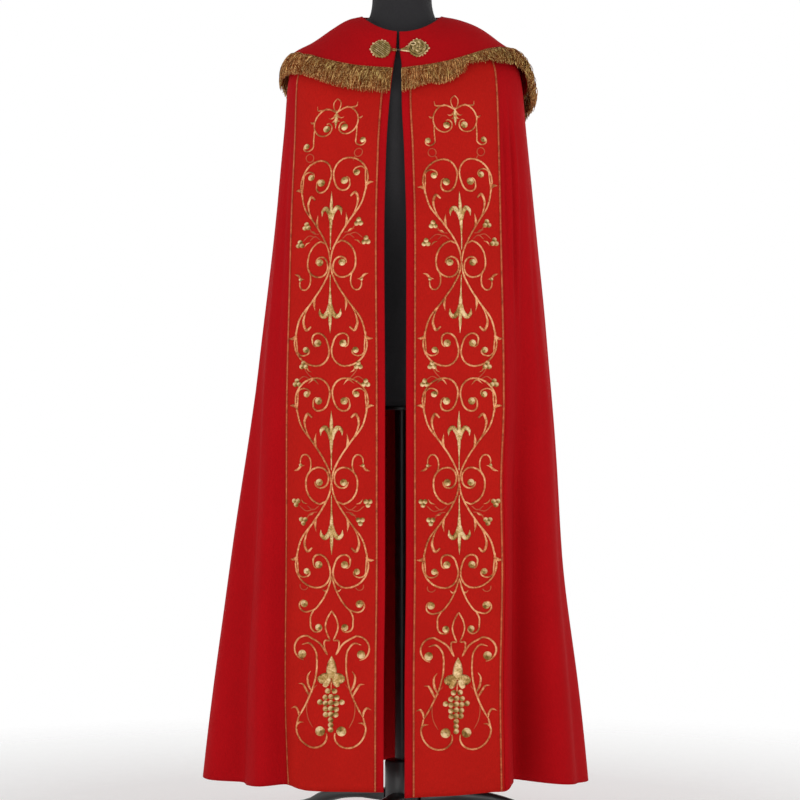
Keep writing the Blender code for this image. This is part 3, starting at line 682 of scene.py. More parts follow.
def rubber():
    m = Nodes("foot_rubber", 0.75)
    grain = m.noise(m.place(), 600.0, 4.0, 0.7)
    colour = m.ramp(grain, ((0.3, grey(0.016)), (0.7, (0.030, 0.029, 0.028))))
    return m.finish(colour, grain, 0.0003)


def hook_metal():
    m = Nodes("hook_metal", 0.38, 0.9)
    tarnish = m.noise(m.place(), 700.0, 3.0)
    colour = m.ramp(tarnish, ((0.35, (0.03, 0.026, 0.022)), (0.7, (0.13, 0.11, 0.085))))
    return m.finish(colour, tarnish, 0.0001, 0.3)


def pale_floor():
    """A pale floor that fades out round its edge."""
    m = Nodes(
        "floor", 0.9, Specular_IOR_Level=0.1, Emission_Color=(1.0, 1.0, 1.0, 1.0), Emission_Strength=0.10,
    )
    place = m.place()
    grain = m.noise(place, 30.0, 4.0)
    away = m.new("VectorMath", {0: place}, operation="LENGTH").outputs["Value"]
    fade = m.maths("SUBTRACT", 1.0, m.maths("MULTIPLY", m.maths("SUBTRACT", away, 0.9), 0.9))
    m.put(m.shader.inputs["Alpha"], m.maths("MAXIMUM", m.maths("MINIMUM", fade, 1.0), 0.0))
    colour = m.ramp(grain, ((0.3, (0.92, 0.918, 0.912)), (0.7, (0.94, 0.938, 0.932))))
    return m.finish(colour, grain, 0.0003, 0.1)


BODY_RED = (0.400, 0.0032, 0.0062)
BAND_RED = (0.442, 0.0095, 0.0060)
body_cloth = woven_cloth("cope_cloth", BODY_RED, 0.0011, 0.85, 0.10, 9.0)
band_cloth = woven_cloth("orphrey_cloth", BAND_RED, 0.0009, 0.75, 0.08, 12.0)
gold_stems = metal_thread(
    "gold_thread", (0.26, 0.070, 0.016), (0.63, 0.20, 0.067), (0.96, 0.50, 0.24), 0.0007,
)
gold_fills = metal_thread(
    "gold_satin", (0.17, 0.090, 0.014), (0.50, 0.29, 0.085), (0.96, 0.70, 0.38), 0.0007,
)
gold_cord = metal_thread(
    "gold_cord", (0.26, 0.034, 0.010), (0.48, 0.090, 0.030), (0.62, 0.175, 0.060), 0.0012, 0.45, 0.3,
)
tone_satin = metal_thread(
    "tone_thread", (0.40, 0.035, 0.014), (0.50, 0.070, 0.024), (0.56, 0.11, 0.04), 0.0007, 0.5, 0.1,
)
# The fringe's gold, with painted glints scattered over it.
gold_bullion = metal_thread(
    "gold_fringe", (0.075, 0.010, 0.002), (0.31, 0.075, 0.010), (1.0, 0.68, 0.28), 0.0016, 0.40, 0.22,
    painted_glint=0.9, gloss=0.1, speckle=2.2, patchy=0.4, grain=760.0,
    tint=((1.06, 0.90, 0.82), (0.90, 1.10, 0.94)),
)
khaki_cord = metal_thread(
    "khaki_cord", (0.10, 0.060, 0.014), (0.36, 0.245, 0.072), (1.0, 0.76, 0.44), 0.0012,
    speckle=0.7, patchy=0.6,
)
form_jersey = woven_cloth("form_cover", (0.030, 0.029, 0.031), 0.0008, 0.62, 0.05, 14.0)
paint = painted_metal()

# ---------------------------------------------------------------- the mantle

ROWS = np.linspace(0.0, HEM, 131)
SEAM_K = 0.0008
BACK_COLUMNS, FRONT_STEPS, BAND_STEPS, BAND_ROWS = 301, 41, 57, 126


def make_mantle():
    """The back width round both sides, and the two fronts, with the flat sizes they unroll to."""
    parts = (
        ("cope_back", np.linspace(1.0 + SEAM_K, 11.0 - SEAM_K, BACK_COLUMNS), (1.72, 1.64), 1.86),
        ("cope_front_left", np.linspace(0.0, 1.0 - SEAM_K, FRONT_STEPS), (0.21, 1.56), 0.294),
        ("cope_front_right", np.linspace(11.0 + SEAM_K, 12.0, FRONT_STEPS), (0.20, 1.57), 0.284),
    )
    for name, ks, flat, area in parts:
        grid, normals = surface(lambda down: ks, ROWS)
        piece = shell(name + "_cloth", grid, grid - normals * CLOTH, uv_of(grid), body_cloth)
        settle(piece, "cope_cloth", name)


# ---------------------------------------------------------------- orphreys and their cords


def band_ks(side, down):
    """The columns of an orphrey at this down, from its inner edge to just past the seam."""
    front = row_of(FRONT_COLUMNS, FRONTS, down)
    inner = front["edge_" + side] + MARGINS[side] - BRAID_WIDTH / 2
    distances = np.linspace(inner, front["outer_" + side] + ORPHREY_PAST_SEAM, BAND_STEPS)
    ks = k_of_front(side, distances, down)
    return ks if side == "left" else ks[::-1]


CORD_HALF_WIDTH, CORD_HALF_HEIGHT = 0.0017, 0.0009
CORD_PITCH, CORD_STEP, CORD_SIDES = 0.0060, 0.0012, 8
PLY_DEPTH = 0.20  # how deep the groove between a cord's plies is, as a share of its half width
CORD_SUNK, CORD_ENDS_BEFORE_HEM, CORD_ROWS_READ = 0.8, 0.0015, 160
BAND_LIFT = SEAM_GAP + ORPHREY_CLOTH


def twisted_cord(made, points, normals, half_width, half_height, pitch, sides, tone_and_painted_light=0.5):
    """Two plies laid round each other along a line on the cloth."""
    along = unit(np.gradient(points, axis=0))
    across = unit(np.cross(along, normals))
    out = np.cross(across, along)
    length = lengths_along(points)
    turn = turns(sides)[None, :]
    ply = 1.0 + PLY_DEPTH * np.cos(2 * (turn - TURN * length[:, None] / pitch / 2))
    ring = across[:, None] * (half_width * ply * np.cos(turn))[..., None]
    ring = ring + out[:, None] * (half_height * ply * np.sin(turn))[..., None]
    slant = length[:, None] + turn / TURN * pitch
    uv = np.stack([slant, np.broadcast_to(turn * half_width, slant.shape)], axis=-1)
    made.add(points[:, None] + ring, uv, tone_and_painted_light, loop=True, capped=True)


def make_orphreys():
    downs = np.linspace(ORPHREY_TOP, HEM, BAND_ROWS)
    for side in ("left", "right"):
        grid, normals = surface(lambda down: band_ks(side, down), downs)
        top, under = grid + normals * BAND_LIFT, grid + normals * SEAM_GAP
        band = shell("orphrey_" + side + "_band", top, under, uv_of(grid), band_cloth)
        settle(band, "orphrey_cloth", "orphrey_" + side)
        cords = [make_edge_cord(side, edge) for edge in ("inner", "outer")]
        cords + embroider(side)


def make_edge_cord(side, edge):
    """The gold cord along one long side of an orphrey."""

    def three(down):
        front = row_of(FRONT_COLUMNS, FRONTS, down)
        middle = front["edge_" + side] + MARGINS[side]
        if edge == "outer":
            middle = front["outer_" + side] - BRAID_WIDTH / 2
        return middle + np.array([-0.002, 0.0, 0.002])

    coarse = np.linspace(ORPHREY_TOP, HEM, CORD_ROWS_READ)
    count = int((HEM - ORPHREY_TOP) / CORD_STEP)
    downs = np.linspace(ORPHREY_TOP, HEM - CORD_ENDS_BEFORE_HEM, count)
    grid, normals = front_surface(side, three, coarse)
    outward = unit(read_along(downs, coarse, normals[:, 1]))
    lifted = read_along(downs, coarse, grid[:, 1]) + outward * (BAND_LIFT + CORD_HALF_HEIGHT * CORD_SUNK)
    made = Meshes()
    twisted_cord(made, lifted, outward, CORD_HALF_WIDTH, CORD_HALF_HEIGHT, CORD_PITCH, CORD_SIDES)
    name = f"braid_{edge}_{side}"
    return made.piece(name + "_cord", "gold_thread", gold_cord, stands_for=[name], mended=False)


# ---------------------------------------------------------------- embroidery
# Strokes are drawn on the right half of a motif, in millimetres outward from the stitching's middle
# line and up from the motif's own origin, and each is worked on both sides. A stroke is (points, widths).

# Each orphrey's middle line: at these heights, how far from x = 0 on the left and on the right.
STITCH_MIDDLES = (
    (0.113, 0.1228, 0.1147), (0.260, 0.1228, 0.1150), (0.360, 0.1214, 0.1188), (0.450, 0.1212, 0.1200),
    (0.550, 0.1214, 0.1216), (0.840, 0.1222, 0.1214), (0.930, 0.1240, 0.1225), (1.025, 0.1252, 0.1240),
    (1.165, 0.1248, 0.1268), (1.270, 0.1228, 0.1222), (1.345, 0.1190, 0.1180), (1.440, 0.1118, 0.1136),
)
# The motifs are a little narrower than drawn, and more so near the top on the side towards the
# shoulder, where the band turns away.
NARROW_LOW, NARROWED_FROM = 0.975, (1.06, 1.16)
NARROW_INWARD, NARROW_OUTWARD = 0.960, {"left": 0.82, "right": 0.90}
CREST_OUTWARD, CREST_FROM = 0.93, (1.30, 1.35)

# Widths of gold stems, fine ones and red ones, and the width from which a stroke is filled satin.
LINE, FINE_LINE, RED_LINE = 3.9, 2.6, 2.2
FILL_FROM = 6.9
SATIN_HEIGHT = 0.0013


def spline(points, step=2.0):
    """A smooth line through a few points, with a point about every step millimetres."""
    points = np.asarray(points, float)
    if len(points) == 2:
        points = np.array([points[0], points.mean(axis=0), points[1]])
    chord = lengths_along(points)
    tangent = np.gradient(points, chord, axis=0)
    at = np.linspace(0.0, chord[-1], max(4, int(chord[-1] / step) + 1))
    i = np.clip(np.searchsorted(chord, at, side="right") - 1, 0, len(chord) - 2)
    run = (chord[i + 1] - chord[i])[:, None]
    return cubic(points, tangent, run, i, (at - chord[i])[:, None] / run)


def curl(centre, start, radii, way=1):
    """A spiral: its radius at each quarter turn from the start angle, anticlockwise if way is 1."""
    quarters = np.linspace(0.0, len(radii) - 1.0, 9 * (len(radii) - 1) + 1)
    radius = smooth_through(range(len(radii)), radii, quarters)
    angle = math.radians(start) + way * quarters * math.pi / 2
    return np.stack([centre[0] + radius * np.cos(angle), centre[1] + radius * np.sin(angle)], axis=-1)


def scroll(path, centre, start, radii, way=1, width=LINE):
    """A stem that runs into a curl."""
    end = curl(centre, start, radii, way)
    points = np.concatenate([spline(list(path) + [end[0]])[:-1], end])
    return points, np.interp(np.linspace(0, 1, len(points)), (0, 0.06, 0.9, 1), (0.4, 1, 1, 0.55)) * width


def leaf(path, widths):
    """A stroke whose width swells and tapers as listed."""
    points = spline(path, 1.5)
    share = np.linspace(0.0, len(widths) - 1.0, len(points))
    return points, np.maximum(smooth_through(range(len(widths)), widths, share), 0.3)


def line(path, width=FINE_LINE):
    points = spline(path)
    return points, np.interp(np.linspace(0, 1, len(points)), (0, 0.08, 0.92, 1), (0.4, 1, 1, 0.4)) * width


class Motif:
    """Half a motif's stitches: gold strokes, discs, strokes on the middle line, and strokes in red."""

    def __init__(self, strokes=(), discs=(), middle=(), toned=()):
        self.strokes, self.discs = list(strokes), list(discs)
        self.middle, self.toned = list(middle), list(toned)

    def with_more(self, other):
        return Motif(
            self.strokes + other.strokes, self.discs + other.discs,
            self.middle + other.middle, self.toned + other.toned,
        )

    def flipped(self):
        """The same stitches upside down."""
        turned = [
            [(points * (1.0, -1.0), widths) for points, widths in strokes]
            for strokes in (self.strokes, self.middle, self.toned)
        ]
        return Motif(turned[0], [((x, -y), radius) for (x, y), radius in self.discs], *turned[1:])


def heart():
    """Half of an upright heart of two scrolls round a fleur-de-lis, above its own crossing."""
    strokes = [
        scroll(
            [(0.6, 0), (3.5, 20), (14, 43), (36, 76), (60, 108)], (28, 154), 0, (44, 46, 22, 16.5, 7.5, 9),
        ),
        scroll([(70, 134), (68, 148)], (49, 170), 10, (17.5, 8.5, 6.5), width=FINE_LINE + 0.6),
        leaf([(67, 141), (75, 147), (83, 147)], (4, 6.5, 1.5)),
        leaf([(38, 78), (50, 100), (53, 120), (47, 131), (38, 124)], (1.5, 2.6, 3.4, 5.2, 5.6, 3.5)),
        leaf([(28, 63), (32, 78), (30, 94)], (1, 5.5, 0)),
        leaf([(2, 82), (6, 98), (13, 105), (19, 101), (21, 89)], (5, 8, 9.5, 7, 0)),
    ]
    discs = [((25, 156), 7.2), ((49, 169), 6.2)]
    middle = [leaf([(0, 24), (0, 56), (0, 84), (0, 100), (0, 137)], (2, 3, 7.2, 7.0, 0.6))]
    return Motif(strokes, discs, middle)


BERRY_OUT, BERRY_RADIUS, GRAPE_RADIUS = 4.7, 4.8, 5.4


def berries(stems, centres):
    """Trefoils of three berries on thin stems of red thread, each with a small gold leaf beside it."""
    discs = []
    for x, y in centres:
        for turn in (90, 210, 330):
            angle = math.radians(turn)
            spot = (x + BERRY_OUT * math.cos(angle), y + BERRY_OUT * math.sin(angle))
            discs.append((spot, BERRY_RADIUS))
    return Motif([], discs, [], [line(stem, RED_LINE) for stem in stems])


def panel():
    """Half of one panel: a heart, a pair of curls, and the heart again upside down, with side hooks."""
    made = heart().with_more(heart().flipped())
    made.strokes += [
        scroll([(9, 35)], (22.5, -2), 90, (43, 28, 27, 16, 12, 9.5), -1),
        line(
            [(45, -15), (41.5, -26), (40.5, -37), (43, -47), (49, -53), (56, -52.5), (61, -46), (62, -36)],
            LINE - 0.6,
        ),
        leaf([(53, -33), (61, -31), (67, -25), (76, -22)], (0, 4.5, 4.8, 0)),
        leaf([(33, 55), (40, 61), (48, 62)], (0, 3.2, 0)),
        leaf([(47, 41), (56, 38), (61, 31)], (0, 3.2, 0)),
    ]
    made.discs += [((23.5, -0.5), 7.0), ((61.5, -33), 3.4)]
    stems = ([(27, 56), (40, 58), (50, 70)], [(34, 50), (50, 54), (64, 44)], [(24, 44), (36, 52), (48, 44)])
    return made.with_more(berries(stems, ((56, 73), (71, 38))))


def junction():
    """Half of the sprays of berries between the two panels."""
    stems = ([(34, -12), (46, 0), (53, 10)], [(38, -14), (54, -6), (66, -14)])
    made = berries(stems, ((54, 15), (68, -19)))
    made.strokes += [
        leaf([(24, -22), (34, -12), (46, -20)], (0, 4, 0)), leaf([(38, 2), (45, 6), (47, 14)], (0, 3, 0)),
    ]
    return made


GRAPES = (
    (6.5, -214), (0, -225), (11, -226), (0, -236), (10.5, -237), (21, -235), (0, -247), (10.3, -248),
    (0, -258), (9.5, -258.5), (0, -268.5), (0, -278), (0, -287),
)


def tail():
    """Half of the foot: crossing stems, a bud, a lyre of scrolls, a vine leaf and a bunch of grapes."""
    strokes = [
        scroll([(0, 3), (7, -20), (20, -45), (35, -61)], (51, -50), -115, (15.5, 13.5, 8.5), 1, LINE - 0.3),
        scroll([(34, -60), (41, -74)], (27, -92), 15, (14.5, 11, 8.5), -1, LINE - 0.3),
        leaf([(5, -21), (13, -25), (19, -20)], (1, 3.5, 0)),
        line([(0, -62), (9, -78), (12, -92), (7, -110), (3, -118)], LINE - 0.4),
        line([(3, -119), (13, -119), (14, -129), (8, -146)], LINE - 0.4),
        scroll([(8, -146), (22, -125)], (51, -135), 100, (25, 22.5, 21), -1),
        line([(58, -127), (44, -124), (32, -136), (28, -164), (34, -204), (48, -238), (63, -264)], LINE),
        scroll([(63, -262)], (24, -291), 8, (45, 30.5, 15.5), -1),
        leaf([(36, -218), (45, -200), (45, -184), (40, -177)], (1, 5, 4.6, 1)),
        leaf([(41, -226), (50, -210), (56, -202), (65, -201)], (1, 5, 4.6, 0.5)),
        leaf([(63, -264), (65, -252), (70, -246), (79, -249)], (1, 4.6, 4.6, 0)),
        leaf([(69, -283), (63, -275), (53, -274)], (1, 4.2, 0)),
        leaf([(2, -188), (10, -189), (18, -191), (26, -191)], (12, 19, 19, 8)),
        leaf([(5, -190), (9, -198), (13, -206)], (12, 13, 8)),
    ]
    discs = [((57.5, -145), 8.2), ((54, -49.5), 7.2), ((25, -94), 6.8), ((20.5, -290), 9.6)]
    discs += [(spot, GRAPE_RADIUS) for spot in GRAPES]
    middle = [
        leaf([(0, -147), (0, -160), (0, -174), (0, -190)], (0.3, 15, 20, 17)),
        leaf([(0, -196), (0, -212)], (2, 3)),
    ]
    low = curl((55, -15), 200, (9, 8, 7), 1)
    arc = line([(27, -202), (41, -218), (47, -243), (44, -267), (35, -284)], RED_LINE)
    toned = [(low, np.full(len(low), RED_LINE)), arc]
    return Motif(strokes, discs, middle, toned)


def crest():
    """Half of the crown of scrolls at an orphrey's top, with a small red curl below it."""
    strokes = [
        scroll([(8, 22)], (18.5, -9), 85, (35, 25.0, 17.5, 10.0, 3.5), -1, LINE - 0.7),
        scroll([(43, -12), (43.5, -27)], (57, -43), 190, (14.5, 9.0, 4.5), 1, LINE - 0.9),
        leaf([(0, 16), (16, 24), (33, 24), (39, 25), (41, 33)], (3, 3.4, 3.4, 3.4, 1)),
        line([(0, 15), (6, 25), (7, 36), (0, 44)], 2.4),
        leaf([(1, 14), (7, 6), (12, 5), (16, 7)], (2.5, 3.6, 2.6, 0)),
        leaf([(0, 6), (5, -1), (9, -2)], (2, 3.4, 0)),
        leaf([(43, 3), (48, 1), (53, 4)], (1, 4.4, 1)),
    ]
    ring = curl((50, -67), -60, (8, 8, 8, 8, 8), 1)
    toned = [(ring, np.full(len(ring), RED_LINE)), line([(45, -73), (41.5, -77), (41, -82)], RED_LINE)]
    middle = [leaf([(0, 20), (0, 2), (0, -15)], (2, 7.2, 0.3))]
    return Motif(strokes, [((18.0, -14), 6.8), ((57, -43), 5.6)], middle, toned)


# Across a satin stroke: where its points lie, and how high.
SATIN_SPOTS, SATIN_RISE = (-1.0, -0.62, 0.0, 0.62, 1.0, 0.0), (0.0, 0.72, 1.0, 0.72, 0.0, -0.25)
SATIN_SLOPE = 0.38
DISC_PROFILE = ((0.05, 1.0), (0.35, 0.98), (0.55, 0.80), (0.78, 0.78), (0.95, 0.35), (1.0, -0.2))
DISC_SIDES, DISC_HEIGHT = 15, SATIN_HEIGHT * 1.15
MM = 1000


class Band:
    """One orphrey, on which a motif's millimetres find their place."""

    def __init__(self, side):
        self.side, self.patch = side, ground(side, BAND_GROUND)

    def narrowing(self, height, across):
        outward = NARROW_OUTWARD[self.side]
        outward = outward + (CREST_OUTWARD - outward) * ease(height, *CREST_FROM)
        top = np.where(across > 0.0, outward, NARROW_INWARD)
        return NARROW_LOW + (top - NARROW_LOW) * ease(height, *NARROWED_FROM)

    def place(self, origin, spots, lift):
        """Millimetres from a motif's origin to points in the frame, raised above the cloth."""
        height = origin + spots[:, 1] / MM
        aside = spots[:, 0] / MM * self.narrowing(height, spots[:, 0])
        height = height + TILTS[self.side] * ease(height, *TILTED_FROM) * aside
        middle = read_table(STITCH_MIDDLES, 1 + (self.side == "right"), height)
        return self.patch.at(height, middle + aside, BAND_LIFT + lift)[0]

    def ribbon(self, made, origin, mirror, points, widths):
        """One raised satin stroke."""
        flat = points * (mirror, 1.0)
        along = unit(np.gradient(flat, axis=0))
        across = np.stack([along[:, 1], -along[:, 0]], axis=-1)
        height = np.minimum(SATIN_HEIGHT, widths / MM * SATIN_SLOPE)
        grid = np.stack([
            self.place(origin, flat + across * (widths * spot / 2)[:, None], height * up)
            for spot, up in zip(SATIN_SPOTS, SATIN_RISE)
        ], axis=1)
        sides = np.array(SATIN_SPOTS)[None, :] * widths[:, None] / 2 / MM
        length = np.broadcast_to(lengths_along(flat)[:, None] / MM, sides.shape)
        # Painted sheen: each stroke lighter or darker by the direction it runs, and the halves on one side
        # of the middle line lighter, as light falls on satin.
        lean = np.arctan2(along[:, 1], along[:, 0])
        painted_sheen = 0.30 + 0.42 * np.sin(lean - 0.6) ** 2
        painted_sheen = painted_sheen + 0.10 * (mirror * (1.0 if self.side == "left" else -1.0) < 0)
        filled = int(widths.max() > FILL_FROM)
        uv = np.stack([length, sides], axis=-1)
        made.add(grid, uv, painted_sheen[:, None], loop=True, capped=True, finish=filled)

    def disc(self, made, origin, mirror, centre, radius):
        """A domed eye of coiled thread."""
        turn = turns(DISC_SIDES)
        rows = []
        for share, up in DISC_PROFILE:
            ring = np.stack([np.cos(turn), np.sin(turn)], axis=-1) * radius * share
            ring[:, 0] /= self.narrowing(origin + centre[1] / MM, centre[0] * mirror)
            rows.append(self.place(origin, (ring + centre) * (mirror, 1.0), DISC_HEIGHT * up))
        grid = np.stack(rows)
        if mirror < 0:
            grid = grid[:, ::-1]
        shares = np.linspace(0.05, 1.0, len(rows))[:, None] * radius / MM
        uv = np.stack([shares + turn * 0.0007, turn * radius / MM + 0 * shares], axis=-1)
        # Painted light: each dome lighter on one side and darker on the other.
        tone_and_painted_light = 0.55 + 0.35 * np.sin(turn + 0.8)[None, :]
        made.add(grid[::-1], uv[::-1], tone_and_painted_light, loop=True, capped=True, finish=1)


PANEL_TOP_Z, PANEL_LOW_Z = 1.126, 0.703
JUNCTION_Z = 0.912
TAIL_Z = {"left": 0.522, "right": 0.519}
CREST_Z = {"left": 1.4010, "right": 1.4065}
# The cloth is pulled towards each shoulder, which tilts the stitching near the top.
TILTS = {"left": -0.10, "right": 0.035}
TILTED_FROM = (1.08, 1.25)


def embroider(side):
    """All the gold and the red stitching of one orphrey."""
    band, gold, red = Band(side), Meshes(), Meshes()
    motifs = (
        (CREST_Z[side], crest()), (PANEL_TOP_Z, panel()), (JUNCTION_Z, junction()),
        (PANEL_LOW_Z, panel().flipped()), (TAIL_Z[side], tail()),
    )
    for origin, motif in motifs:
        for stroke in motif.middle:
            band.ribbon(gold, origin, 1.0, *stroke)
        for mirror in (1.0, -1.0):
            for made, strokes in ((red, motif.toned), (gold, motif.strokes)):
                for stroke in strokes:
                    band.ribbon(made, origin, mirror, *stroke)
            for centre, radius in motif.discs:
                if mirror > 0 or centre[0] > 0:
                    band.disc(gold, origin, mirror, centre, radius)
    return [
        gold.piece("embroidery_" + side, "gold_thread", gold_stems, gold_fills),
        red.piece("tone_stitching_" + side, "orphrey_cloth", tone_satin),
    ]


# ---------------------------------------------------------------- shoulder cape and fringe


def lift_of_cape(down, share):
    """How far the cape's underside stands off the mantle: over the orphreys, and more at its edge."""
    over = CAPE_LIFT_ON_ORPHREY * ease(down, 0.0, CAPE_OVER_ORPHREY)
    return CAPE_LIFT_AT_NECK + over + CAPE_LIFT_AT_EDGE * np.asarray(share) ** 2


def roll_at(k, share):
    """The cape's own rolls, none at the neck."""
    return sum(deep * bell(k, at, wide) for at, deep, wide in CAPE_ROLLS) * ease(share, 0.25, 1.0)


class Meridian:
    """One line down the cloth at a k, which gives points moved out from it."""

    def __init__(self, downs, points, normals):
        self.downs, self.points, self.normals = downs, points, normals
        self.length = lengths_along(points)

    def at(self, down, lift):
        down = np.asarray(down, float)
        out = unit(read_along(down, self.downs, self.normals))
        return read_along(down, self.downs, self.points) + out * np.asarray(lift, float)[..., None], out


def meridians(ks):
    downs = np.linspace(0.0, CAPE_LONGEST, 151)
    grid, normals = surface(lambda down: ks, downs)
    return [Meridian(downs, grid[:, n], normals[:, n]) for n in range(len(ks))]


def cape_edge(meridian, k):
    """The down at which the cape ends on this meridian."""
    return float(np.interp(-read_table(CAPE_EDGES, 1, k), -meridian.points[:, 2], meridian.downs))


CAPE_COLUMNS, CAPE_ROWS = 241, 46
CAPE_ROLL_INWARD = -0.0022
RIM_STANDS, RIM_WIDE = 0.0009, 0.004


def make_cape():
    ks = np.linspace(0.0, 12.0, CAPE_COLUMNS)
    shares = np.linspace(0.0, 1.0, CAPE_ROWS)
    outer, inner = [], []
    for k, meridian in zip(ks, meridians(ks)):
        edge = cape_edge(meridian, k)
        lift = lift_of_cape(edge * shares, shares) + np.maximum(roll_at(k, shares), CAPE_ROLL_INWARD)
        turned = RIM_STANDS * bell((1.0 - shares) * edge, 0.0, RIM_WIDE)
        inner.append(meridian.at(edge * shares, lift)[0])
        outer.append(meridian.at(edge * shares, lift + CAPE_CLOTH + turned)[0])
    outer, inner = np.array(outer).transpose(1, 0, 2), np.array(inner).transpose(1, 0, 2)
    cape = shell("shoulder_cape_cloth", outer, inner, uv_of(outer), body_cloth)
    settle(cape, "cope_cloth", "shoulder_cape")
    make_fringe()


# At these k, how long the strands are, how far they are swept sideways and how unevenly, in units
# of k, and how far they stand out.
STRANDS = (
    (0.00, 0.048, 0.00, 0.005, 0.0000),
    (0.30, 0.049, 0.00, 0.006, 0.0000),
    (0.55, 0.047, 0.00, 0.006, 0.0000),
    (0.78, 0.042, 0.00, 0.007, 0.0005),
    (1.00, 0.040, 0.00, 0.009, 0.0010),
    (1.30, 0.046, -0.02, 0.022, 0.0030),
    (1.80, 0.048, -0.03, 0.028, 0.0040),
    (2.20, 0.051, -0.05, 0.028, 0.0045),
    (2.80, 0.052, -0.05, 0.028, 0.0060),
    (3.20, 0.050, -0.05, 0.030, 0.0130),
    (3.50, 0.050, -0.05, 0.030, 0.0200),
    (3.80, 0.050, -0.05, 0.030, 0.0200),
    (4.30, 0.046, 0.00, 0.022, 0.0020),
    (6.00, 0.046, 0.00, 0.020, 0.0010),
    (7.80, 0.046, 0.00, 0.022, 0.0010),
    (8.50, 0.040, 0.05, 0.030, 0.0080),
    (9.60, 0.039, 0.07, 0.042, 0.0140),
    (10.30, 0.041, 0.02, 0.042, 0.0120),
    (10.80, 0.038, -0.02, 0.035, 0.0050),
    (11.02, 0.032, -0.05, 0.040, 0.0010),
    (11.15, 0.022, -0.03, 0.045, 0.0005),
    (11.30, 0.014, 0.00, 0.045, 0.0005),
    (11.36, 0.032, 0.01, 0.025, 0.0005),
    (11.48, 0.041, 0.00, 0.008, 0.0000),
    (11.60, 0.042, 0.00, 0.006, 0.0000),
    (11.72, 0.036, 0.00, 0.006, 0.0000),
    (11.86, 0.043, 0.00, 0.005, 0.0000),
    (12.00, 0.046, 0.00, 0.005, 0.0000),
)
STRAND_POINTS, STRAND_SIDES, STRAND_GAP = 8, 4, 0.00118
STRAND_RADIUS = 0.00064
# What is drawn for each strand: its share of the listed length and radius, how much it waves and ripples,
# how far it stands out, how far it wanders, and its tone, with painted glints: a few points along it made
# much lighter.
LENGTH_DRAWN, RADIUS_DRAWN = (0.86, 1.08), (0.75, 1.15)
WAVES_DRAWN, RIPPLE_DRAWN, STANDS_DRAWN = (0.7, 1.6), (0.3, 1.0), (0.1, 1.0)
WANDER, TONE, TONE_SPREAD, PAINTED_GLINTS = 0.0025, 0.28, 0.06, 0.7
FRINGE_LAYERS = ((0.0008, 0.0012), (0.0026, 0.0018), (0.0044, 0.0024))
FRINGE_REACH, FRINGE_SEED = 0.056, 7
# The two cords of the heading: how far below the cape's edge each lies, and how far it stands out.
HEADING_CORDS = ((0.0012, 0.0026), (0.0042, 0.0030))
HEADING_HALF, HEADING_STEP, HEADING_PITCH, HEADING_SIDES = 0.0017, 0.0014, 0.0058, 7


def edge_patch():
    """The ground below the cape's edge: rows are lengths below it, and columns are k."""
    ks = np.linspace(0.0, 12.0, 361)
    reach = np.linspace(-0.004, FRINGE_REACH, 31)
    points, normals = [], []
    for k, meridian in zip(ks, meridians(ks)):
        edge = cape_edge(meridian, k)
        start = np.interp(edge, meridian.downs, meridian.length)
        downs = np.interp(start + reach, meridian.length, meridian.downs)
        lift = float(lift_of_cape(edge, 1.0)) + max(float(roll_at(k, 1.0)), CAPE_ROLL_INWARD)
        point, out = meridian.at(downs, np.full(len(downs), lift))
        points.append(point)
        normals.append(out)
    return Patch(reach, ks, np.array(points).transpose(1, 0, 2), np.array(normals).transpose(1, 0, 2))


def make_fringe():
    """Three layers of twisted strands below a corded heading."""
    rng = np.random.default_rng(FRINGE_SEED)
    patch = edge_patch()
    fine = np.linspace(0.0, 12.0, 1441)
    edge = patch.at(0.0, fine)[0]
    travelled = lengths_along(edge)
    pieces = []
    for layer, (base, loose) in enumerate(FRINGE_LAYERS):
        count = int(travelled[-1] / STRAND_GAP)
        along = (np.arange(count) + 0.5 * (layer + 1) + rng.uniform(-0.25, 0.25, count)) * STRAND_GAP
        roots = np.interp(along, travelled, fine)
        made = Meshes()
        add_strands(made, patch, roots, base, loose, rng)
        name = "hood_fringe_" + ("under", "middle", "over")[layer]
        stands_for = ["hood_fringe"] if layer == 0 else []
        pieces.append(made.piece(name, "gold_fringe", gold_bullion, stands_for=stands_for, mended=False))
    heading = Meshes()
    step = np.linspace(0.0, travelled[-1], int(travelled[-1] / HEADING_STEP))
    for below, lift in HEADING_CORDS:
        points, normals = (read_along(step, travelled, values) for values in patch.at(below, fine, lift))
        twisted_cord(
            heading, points, unit(normals), HEADING_HALF, HEADING_HALF, HEADING_PITCH, HEADING_SIDES,
        )
    return pieces + [heading.piece("fringe_heading", "gold_fringe", gold_bullion)]


